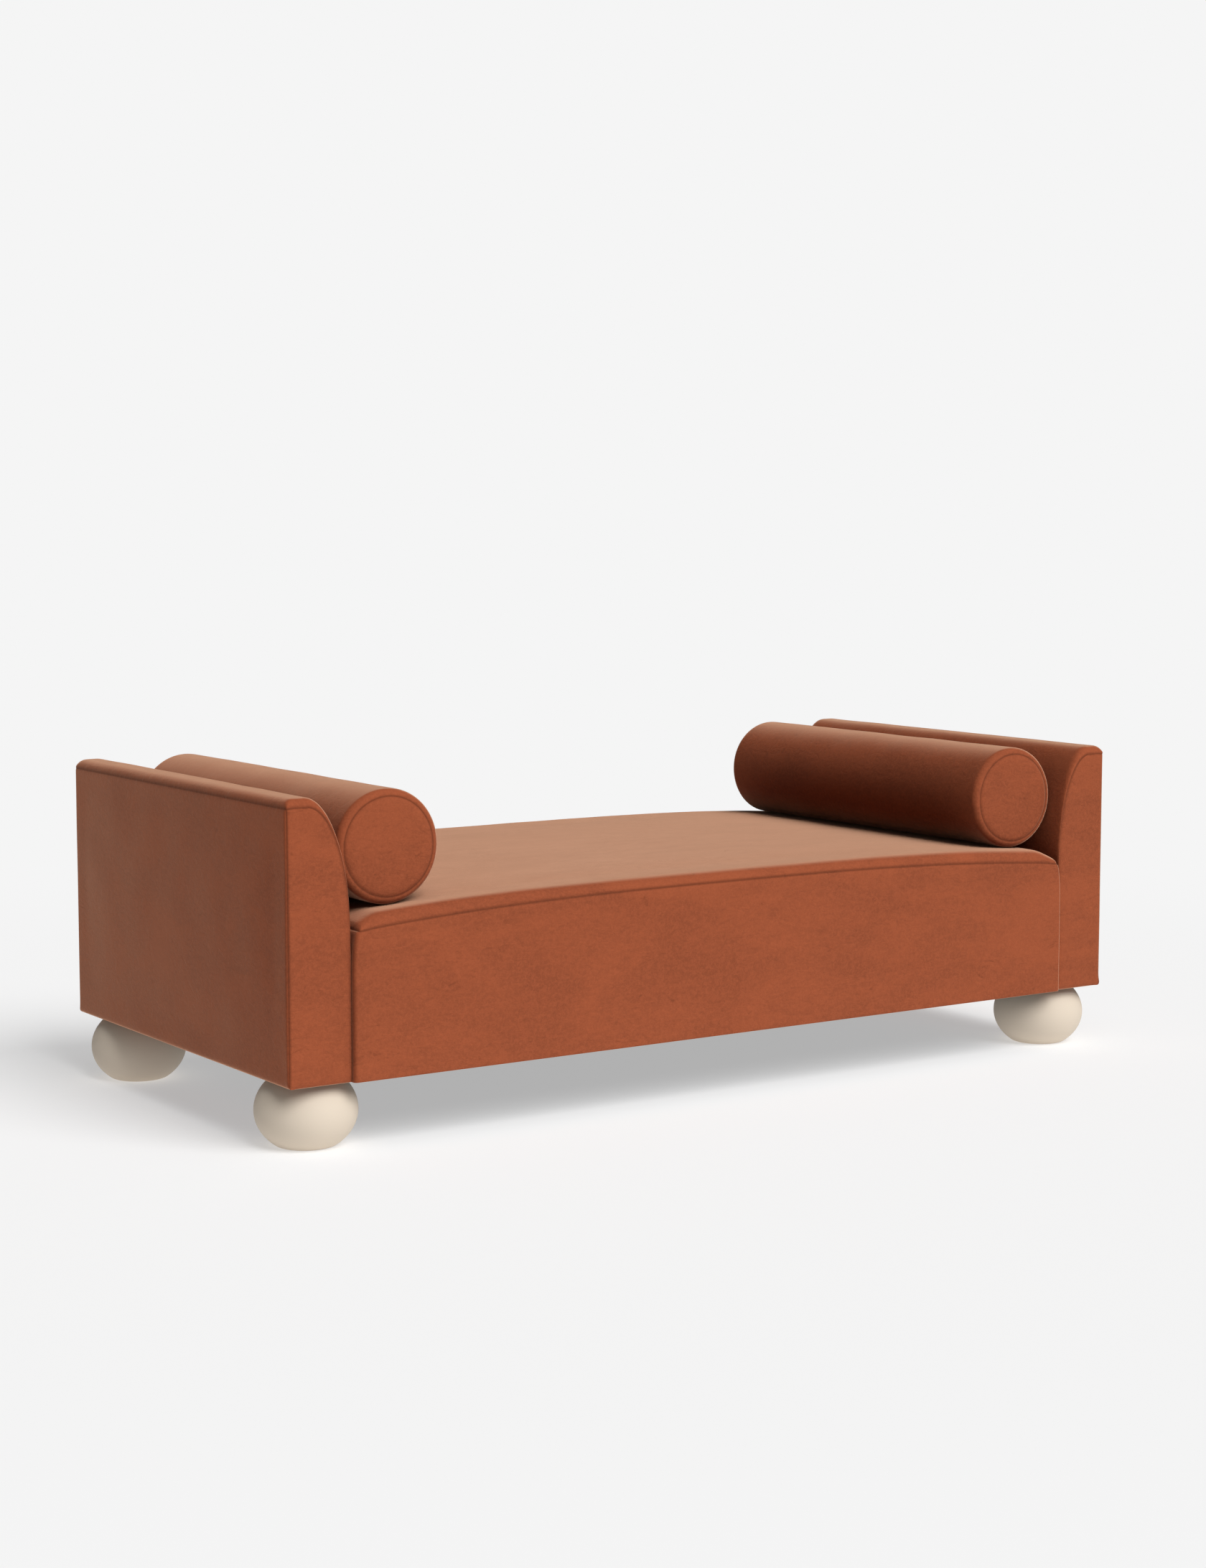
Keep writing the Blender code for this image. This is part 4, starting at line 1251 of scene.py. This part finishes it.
@dataclass
class Zip:
    """The zip along the hidden side of a bolster: coil teeth and a slider with its pull.

    Attributes:
        side: which bolster it closes.
        angle: where it lies round the bolster, from level, towards the arm.
        tooth_pitch: spacing of the teeth.
        tooth: size of a tooth round, along and out from the bolster.
        slider: width, length and height of the slider.
        pull: width, length and thickness of the pull.
        tooth_edge: rounding of a tooth.
        gap: from the bolster to the slider.
        slider_edge: rounding of the slider.
        waist: width of the slider's narrow end, as a share of its wide end.
        bridge: width and height of the bridge that holds the pull.
        bridge_share: length of the bridge, as a share of the slider's.
        bridge_edge: rounding of the bridge, and how far its middle stands over the slider.
        pull_lap: how far the pull reaches past the middle of the slider.
        pull_rise: how far the pull lies over the slider.
        pull_edge: rounding of the pull.
    """

    side: Side
    angle: float = radians(-40)
    tooth_pitch: float = 0.0022
    tooth: Point = (0.0048, 0.0012, 0.0016)
    slider: Point = (0.009, 0.012, 0.0034)
    pull: Point = (0.006, 0.024, 0.0012)
    tooth_edge: float = 0.0003
    gap: float = 0.0006
    slider_edge: float = 0.0011
    waist: float = 0.72
    bridge: float = 0.0024
    bridge_share: float = 0.7
    bridge_edge: float = 0.0008
    pull_lap: float = 0.002
    pull_rise: float = 0.0014
    pull_edge: float = 0.0005

    def __post_init__(self) -> None:
        """Takes the bolster's axis and the zip's ends from the frame."""
        name = f"bolster_{self.side.label}"
        low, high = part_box(f"{name}_tube")
        self.radius = (high.z - low.z) / 2
        self.axis = Vector(((low.x + high.x) / 2, 0.0, (low.z + high.z) / 2))
        low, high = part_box(f"{name}_zip")
        self.half_length = high.y
        low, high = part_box(f"{name}_zip_slider")
        self.parked = (low.y + high.y) / 2

    def outward(self) -> Matrix:
        """Turns +Z to point straight out from the bolster at the zip."""
        turn = self.angle if self.side is Side.RIGHT else pi - self.angle
        return Matrix.Rotation(pi / 2 - turn, 4, "Y")

    def build(self) -> None:
        """The teeth and the slider, dressed."""
        name = f"bolster_{self.side.label}"
        teeth = bevelled_block(self.tooth, (0, 0, self.radius), self.tooth_edge, 1)
        first = list(teeth.verts) + list(teeth.edges) + list(teeth.faces)
        reach = self.half_length - self.tooth_pitch
        places = steps(-reach, reach, self.tooth_pitch)
        for y in places[1:]:
            copy = bmesh.ops.duplicate(teeth, geom=first)["geom"]
            verts = [item for item in copy if isinstance(item, bmesh.types.BMVert)]
            bmesh.ops.translate(teeth, vec=(0, y, 0), verts=verts)
        bmesh.ops.translate(teeth, vec=(0, places[0], 0),
                            verts=[item for item in first if isinstance(item, bmesh.types.BMVert)])
        turn = Matrix.Translation(self.axis) @ self.outward()
        bmesh.ops.transform(teeth, matrix=turn, verts=teeth.verts)
        finished(f"{name}_zip_teeth", teeth, ZIP_COIL, name)
        self.build_slider(turn)

    def build_slider(self, turn: Matrix) -> None:
        """The slider with its bridge and pull.

        Args:
            turn: puts a shape made on top of the axis where the zip is.
        """
        name = f"bolster_{self.side.label}_zip_slider"
        width, length, height = self.slider
        base = self.radius + self.gap
        shape = bevelled_block((width, length, height), (0, self.parked, base + height / 2),
                               self.slider_edge)
        narrow = [v for v in shape.verts if v.co.y < self.parked and abs(v.co.x) > width / 4]
        bmesh.ops.scale(shape, vec=(self.waist, 1, 1), verts=narrow)
        bridge = bevelled_block((self.bridge, length * self.bridge_share, self.bridge),
                                (0, self.parked, base + height + self.bridge_edge), self.bridge_edge)
        tag_width, tag_length, tag_height = self.pull
        tag = bevelled_block((tag_width, tag_length, tag_height),
                             (0, self.parked - tag_length / 2 + self.pull_lap,
                              base + height + self.pull_rise), self.pull_edge)
        for part in (bridge, tag):
            mesh = bpy.data.meshes.new("part")
            part.to_mesh(mesh)
            part.free()
            shape.from_mesh(mesh)
            bpy.data.meshes.remove(mesh)
        bmesh.ops.transform(shape, matrix=turn, verts=shape.verts)
        finished(f"{name}_and_pull", shape, FINISHES[Slot.STEEL], name, (name,))


@dataclass
class Bolster:
    """One loose round bolster with flat sewn ends.

    Attributes:
        side: which end it lies at.
        cap_seam: from the tube's surface in to the seam of the end caps.
        segments: steps round it.
        pitch: spacing of the rings along it.
        zip_hold: half the width of the strip beside the zip that stays down.
        zip_sink: how far that strip lies under the tube's surface.
        cap_rings: rings on the caps, as shares of the seam's radius.
        edge_turns: steps round the edge between a cap and the tube.
        stuffing: how it swells.
    """

    side: Side
    cap_seam: float = 0.014
    segments: int = 96
    pitch: float = 0.012
    zip_hold: float = 0.013
    zip_sink: float = 0.0018
    cap_rings: tuple[float, ...] = (0, 0.16, 0.34, 0.52, 0.68, 0.8, 0.89, 0.945, 0.978)
    edge_turns: int = 8
    stuffing: Stuffing = field(default_factory=lambda: Stuffing(swell=0.002, shy=0.022, ripple=0.0009,
                                                                fill=0.95))

    def __post_init__(self) -> None:
        """Takes the axis, the radius and the length from the frame."""
        low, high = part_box(f"bolster_{self.side.label}_tube")
        self.radius = (high.z - low.z) / 2
        self.half_length = high.y
        self.axis = Vector(((low.x + high.x) / 2, 0.0, (low.z + high.z) / 2))

    def profile(self) -> list[tuple[float, float]]:
        """(radius, distance along) from the middle of one cap to the middle of the other."""
        seam = self.radius - self.cap_seam
        cap = [(seam * share, self.half_length) for share in self.cap_rings]
        straight = self.half_length - self.cap_seam
        turns = [pi / 2 * i / self.edge_turns for i in range(self.edge_turns, -1, -1)]
        edge = [(seam + self.cap_seam * cos(turn), straight + self.cap_seam * sin(turn))
                for turn in turns]
        half = cap + edge + [(self.radius, y) for y in steps(0, straight, self.pitch)[-2:0:-1]]
        return half + [(self.radius, 0.0)] + [(radius, -along) for radius, along in reversed(half)]

    def build(self) -> bpy.types.Object:
        """The bolster, padded and dressed, with its zip."""
        shape = turned(self.profile(), Vector((0, 1, 0)), self.axis, self.segments)
        zipped = Zip(self.side)
        out = (zipped.outward() @ Vector((0, 0, 1, 0))).to_3d()
        seam = shape.verts.layers.float.new("on_seam")
        held = shape.verts.layers.float.new("held")
        seam_radius = self.radius - self.cap_seam
        for vert in shape.verts:
            arm = vert.co - self.axis
            arm.y = 0.0
            at_cap = abs(abs(vert.co.y) - self.half_length) < MERGE
            vert[seam] = float(at_cap and abs(arm.length - seam_radius) < 10 * MERGE)
            beside = arm.length > seam_radius and (arm - out * arm.dot(out)).length < self.zip_hold
            if beside and arm.dot(out) > 0 and abs(vert.co.y) < zipped.half_length + self.zip_hold:
                vert[held] = 1.0
                vert.co -= out * self.zip_sink
        name = f"bolster_{self.side.label}"
        piece = finished(f"{name}_cushion", shape, BOLSTER_VELVET, name,
                         [f"{name}_{part}" for part in ("tube", "front_cap", "back_cap")])
        self.stuffing.apply(piece)
        smooth_out(piece)
        zipped.build()
        return piece


@dataclass
class BallFoot:
    """One turned ball foot with a flat seat at the top and a flat base.

    Attributes:
        side: which end it stands at.
        end: front or back.
        top_radius: radius of the flat top.
        base_radius: radius of the flat base.
        chamfer: rounding between the ball and its base.
        segments: steps round it.
        turns: steps from the top flat to the base.
        top_ring: radius of the ring that divides the top, as a share of the top's.
        base_ring: the same for the base.
    """

    side: Side
    end: End
    top_radius: float = 0.065
    base_radius: float = 0.055
    chamfer: float = 0.0015
    segments: int = 112
    turns: int = 56
    top_ring: float = 0.6
    base_ring: float = 0.5

    def build(self) -> bpy.types.Object:
        """The foot, turned and dressed."""
        node = f"foot_{self.end.label}_{self.side.label}_ball"
        low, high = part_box(node)
        radius = (high.x - low.x) / 2
        top_angle = asin(sqrt(1 - (self.top_radius / radius) ** 2))
        base_angle = asin(sqrt(1 - (self.base_radius / radius) ** 2))
        half_height = (high.z - low.z) / (sin(top_angle) + sin(base_angle))
        middle = half_height * sin(base_angle)
        turns = [top_angle - (top_angle + base_angle) * i / self.turns for i in range(self.turns + 1)]
        ball = [(radius * cos(turn), middle + half_height * sin(turn)) for turn in turns]
        profile = [(0.0, high.z), (self.top_radius * self.top_ring, high.z), *ball[:-1],
                   (self.base_radius + self.chamfer * 0.2, self.chamfer * 0.7),
                   (self.base_radius - self.chamfer, 0.0), (self.base_radius * self.base_ring, 0.0),
                   (0.0, 0.0)]
        centre = Vector(((low.x + high.x) / 2, (low.y + high.y) / 2, 0.0))
        shape = turned(profile, Vector((0, 0, 1)), centre, self.segments)
        return finished(f"foot_{self.end.label}_{self.side.label}_turned", shape,
                        FINISHES[Slot.BALL_WOOD], "frame", (node,))


@dataclass
class Underside:
    """The dust cloth under the seat and the staples that hold it.

    Attributes:
        margin: strip of velvet left showing round the cloth.
        sag: how far the cloth hangs between its edges.
        pitch: spacing of the grid.
        staple_pitch: distance between staples.
        staple_inset: from the cloth's edge to the staples.
        staple: length, width and height of a staple's crown.
        sag_run: distance from an edge over which the cloth starts to hang.
        ripple: height of its unevenness.
        ripple_size: size of the unevenness, in cycles per metre.
        thickness: thickness of the cloth.
        skew: how far a staple may be turned askew, in radians.
        skew_size: how fast the skew changes from staple to staple, in cycles per metre.
    """

    margin: float = 0.014
    sag: float = 0.003
    pitch: float = 0.03
    staple_pitch: float = 0.045
    staple_inset: float = 0.008
    staple: Point = (0.010, 0.0013, 0.0008)
    sag_run: float = 0.12
    ripple: float = 0.0008
    ripple_size: float = 12.0
    thickness: float = 0.0006
    skew: float = 0.3
    skew_size: float = 40.0

    def build(self) -> None:
        """The cloth and its staples."""
        low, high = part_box("seat_dust_cover")
        size = Vector((high.x - low.x - 2 * self.margin, high.y - low.y - 2 * self.margin, 0))
        shape = bmesh.new()
        counts = [round(part / self.pitch) for part in size[:2]]
        bmesh.ops.create_grid(shape, x_segments=counts[0], y_segments=counts[1], size=0.5)
        bmesh.ops.scale(shape, vec=(size.x, size.y, 1), verts=shape.verts)
        for vert in shape.verts:
            inside = [min(1.0, (part / 2 - abs(at)) / self.sag_run)
                      for part, at in zip(size, vert.co[:2])]
            ripple = noise.noise(vert.co * self.ripple_size) * self.ripple
            vert.co.z = high.z - (self.sag + ripple) * inside[0] * inside[1]
        piece = finished("seat_dust_cloth", shape, FINISHES[Slot.DUST_CLOTH], "frame",
                         ("seat_dust_cover",))
        wall = piece.modifiers.new("cloth", "SOLIDIFY")
        wall.thickness = self.thickness
        wall.offset = 0.0
        self.build_staples(size, low.z)

    def build_staples(self, size: Vector, z: float) -> None:
        """One piece with a staple every few centimetres round the cloth.

        Args:
            size: the cloth's length and depth.
            z: height of the cloth's lower side.
        """
        shape = bmesh.new()
        reach_x, reach_y = size.x / 2 - self.staple_inset, size.y / 2 - self.staple_inset
        spots = [(x, way * reach_y, 0) for x in steps(-reach_x, reach_x, self.staple_pitch)
                 for way in (-1, 1)]
        spots += [(way * reach_x, y, 1) for y in steps(-reach_y, reach_y, self.staple_pitch)[1:-1]
                  for way in (-1, 1)]
        for x, y, turned_round in spots:
            made = bmesh.ops.create_cube(shape, size=1.0)["verts"]
            bmesh.ops.scale(shape, vec=self.staple, verts=made)
            askew = noise.noise((x * self.skew_size, y * self.skew_size, 0)) * self.skew
            turn = Matrix.Rotation(pi / 2 * turned_round + askew, 4, "Z")
            bmesh.ops.transform(shape, matrix=Matrix.Translation((x, y, z)) @ turn, verts=made)
        finished("seat_staples", shape, FINISHES[Slot.STEEL], "frame")


class HiddenStructure:
    """The CAD nodes that stay: timber, foam, webbing, fill, zips, studs and bolts."""

    @staticmethod
    def dress() -> int:
        """Gives each CAD node that still shows the finish of its slot.

        Returns:
            How many nodes were dressed.
        """
        slots = {part["node"]: Slot(part["material_slot"]) for part in frame["record"]["subparts"]}
        shown = [node for node in frame["nodes"].values() if not node.hide_render]
        for node in shown:
            material = FINISHES[slots[node.name]].material()
            if not node.material_slots:
                node.data.materials.append(material)
            for place in node.material_slots:
                place.material = material
        return len(shown)


# Studio -------------------------------------------------------------------------------------------


@dataclass(frozen=True)
class SoftLight:
    """A broad, distant softbox.

    Attributes:
        name: its name.
        bearing: where it stands, in degrees round from the front towards +X.
        height: degrees above the floor.
        strength: its strength.
        spread: its width in degrees.
        colour: its colour.
    """

    name: str
    bearing: float
    height: float
    strength: float
    spread: float
    colour: tuple[float, float, float] = (1.0, 1.0, 1.0)

    def add(self) -> bpy.types.Object:
        """Puts the light in the scene."""
        light = bpy.data.lights.new(self.name, "SUN")
        light.energy = self.strength
        light.angle = radians(self.spread)
        light.color = self.colour
        lamp = bpy.data.objects.new(self.name, light)
        bpy.context.scene.collection.objects.link(lamp)
        bearing, height = radians(self.bearing), radians(self.height)
        towards = Vector((sin(bearing) * cos(height), -cos(bearing) * cos(height), sin(height)))
        lamp.rotation_euler = towards.to_track_quat("Z", "Y").to_euler()
        return lamp


@dataclass
class Studio:
    """A pale floor that runs into the background, soft lights and the camera.

    Attributes:
        background: brightness of the background and of the open floor.
        floor_glow: share of the floor's brightness that shadows don't take away.
        floor_tone: reflectance of the floor.
        floor_bounce: brightness of the far floor as it lights the pieces.
        near_bounce: the near floor's own glow as it lights the pieces.
        fade: distances from the middle over which the floor turns into the background.
        ambient: strength of the even light from all round.
        floor_size: length of the floor's sides.
        camera_place: where the camera stands.
        camera_tilt: degrees that it looks down.
        camera_turn: degrees that it is turned from looking along +Y.
        lens: focal length for a sensor as wide as sensor.
        sensor: width of the sensor, along the picture's long side.
    """

    background: float = 0.913
    floor_glow: float = 0.425
    floor_tone: float = 0.578
    floor_bounce: float = 0.62
    fade: tuple[float, float] = (1.9, 3.6)
    near_bounce: float = 0.42
    ambient: float = 0.05
    floor_size: float = 60.0
    camera_place: Point = (-3.2792, -4.8988, 1.1869)
    camera_tilt: float = 5.78
    camera_turn: float = -33.79
    lens: float = 63.94
    sensor: float = 36.0
    lights: tuple[SoftLight, ...] = (
        SoftLight("key_softbox", 11.0, 44.0, 2.55, 40.0),
        SoftLight("overhead_softbox", 0.0, 70.0, 0.7, 50.0),
    )

    def build(self) -> None:
        """Floor, world, lights and camera."""
        self.build_floor()
        self.build_world()
        for light in self.lights:
            light.add()
        self.build_camera()
        bpy.context.scene.view_settings.view_transform = "Standard"

    def build_floor(self) -> None:
        """A wide floor, pale enough to meet the background without a line."""
        shape = bmesh.new()
        bmesh.ops.create_grid(shape, x_segments=1, y_segments=1, size=self.floor_size / 2)
        mesh = bpy.data.meshes.new("studio_floor")
        shape.to_mesh(mesh)
        shape.free()
        floor = bpy.data.objects.new("studio_floor", mesh)
        bpy.context.scene.collection.objects.link(floor)
        material = bpy.data.materials.new("studio_floor")
        material.use_nodes = True
        material.node_tree.nodes.clear()
        graph = Graph(material.node_tree)
        tone = (self.floor_tone,) * 3 + (1.0,)
        where = graph.node("TexCoord").outputs["Object"]
        speck = graph.spread(graph.noise(where, 220.0, 3.0, 0.6), 0.3, 0.7)
        seen = graph.node("LightPath").outputs["Is Camera Ray"]
        near = graph.node("BsdfPrincipled", {
            "Base Color": graph.blend(speck, shade(tone, 0.995), shade(tone, 1.005)),
            "Roughness": 1.0, "Specular IOR Level": 0.0, "Emission Color": (1, 1, 1, 1),
            "Emission Strength": self.seen_or_lit(graph, seen, self.floor_glow, self.near_bounce)})
        strength = self.seen_or_lit(graph, seen, self.background, self.floor_bounce)
        far = graph.node("Emission", {"Strength": strength})
        distance = graph.node("VectorMath", {0: where}, operation="LENGTH").outputs["Value"]
        both = graph.node("MixShader", {0: graph.spread(distance, *self.fade), 1: near.outputs[0],
                                        2: far.outputs[0]})
        graph.node("OutputMaterial", {"Surface": both.outputs[0]})
        mesh.materials.append(material)

    @staticmethod
    def seen_or_lit(graph: Graph, seen: Any, shown: float, lit: float) -> bpy.types.NodeSocket:
        """One strength for the camera and another for light that falls on the pieces.

        Args:
            graph: the material's graph.
            seen: 1 for rays from the camera.
            shown: the strength that the camera sees.
            lit: the strength for every other ray.

        Returns:
            The strength.
        """
        return graph.math("ADD", graph.math("MULTIPLY", seen, shown - lit), lit)

    def build_world(self) -> None:
        """An even background, and a weaker even light from all round."""
        world = bpy.data.worlds.new("studio")
        bpy.context.scene.world = world
        world.use_nodes = True
        world.node_tree.nodes.clear()
        graph = Graph(world.node_tree)
        seen = graph.node("Background", {"Color": (1, 1, 1, 1), "Strength": self.background})
        lit = graph.node("Background", {"Color": (1, 1, 1, 1), "Strength": self.ambient})
        path = graph.node("LightPath")
        both = graph.node("MixShader", {0: path.outputs["Is Camera Ray"], 1: lit.outputs[0],
                                        2: seen.outputs[0]})
        graph.node("OutputWorld", {"Surface": both.outputs[0]})

    def build_camera(self) -> None:
        """The camera, at standing height in front of the left arm."""
        data = bpy.data.cameras.new("camera")
        data.lens = self.lens
        data.sensor_width = self.sensor
        data.clip_end = self.floor_size * 2
        camera = bpy.data.objects.new("camera", data)
        bpy.context.scene.collection.objects.link(camera)
        camera.location = self.camera_place
        camera.rotation_euler = (radians(90 - self.camera_tilt), 0, radians(self.camera_turn))
        bpy.context.scene.camera = camera


def main() -> None:
    """Builds the pieces in order and reports each one."""
    logging.basicConfig(level=logging.INFO, format="%(name)s: %(message)s")
    Studio().build()
    Seat().build()
    for side in Side:
        Arm(side).build()
        Bolster(side).build()
        for end in End:
            BallFoot(side, end).build()
    Underside().build()
    LOG.info("%d CAD nodes dressed", HiddenStructure.dress())


if __name__ == "__main__":
    main()
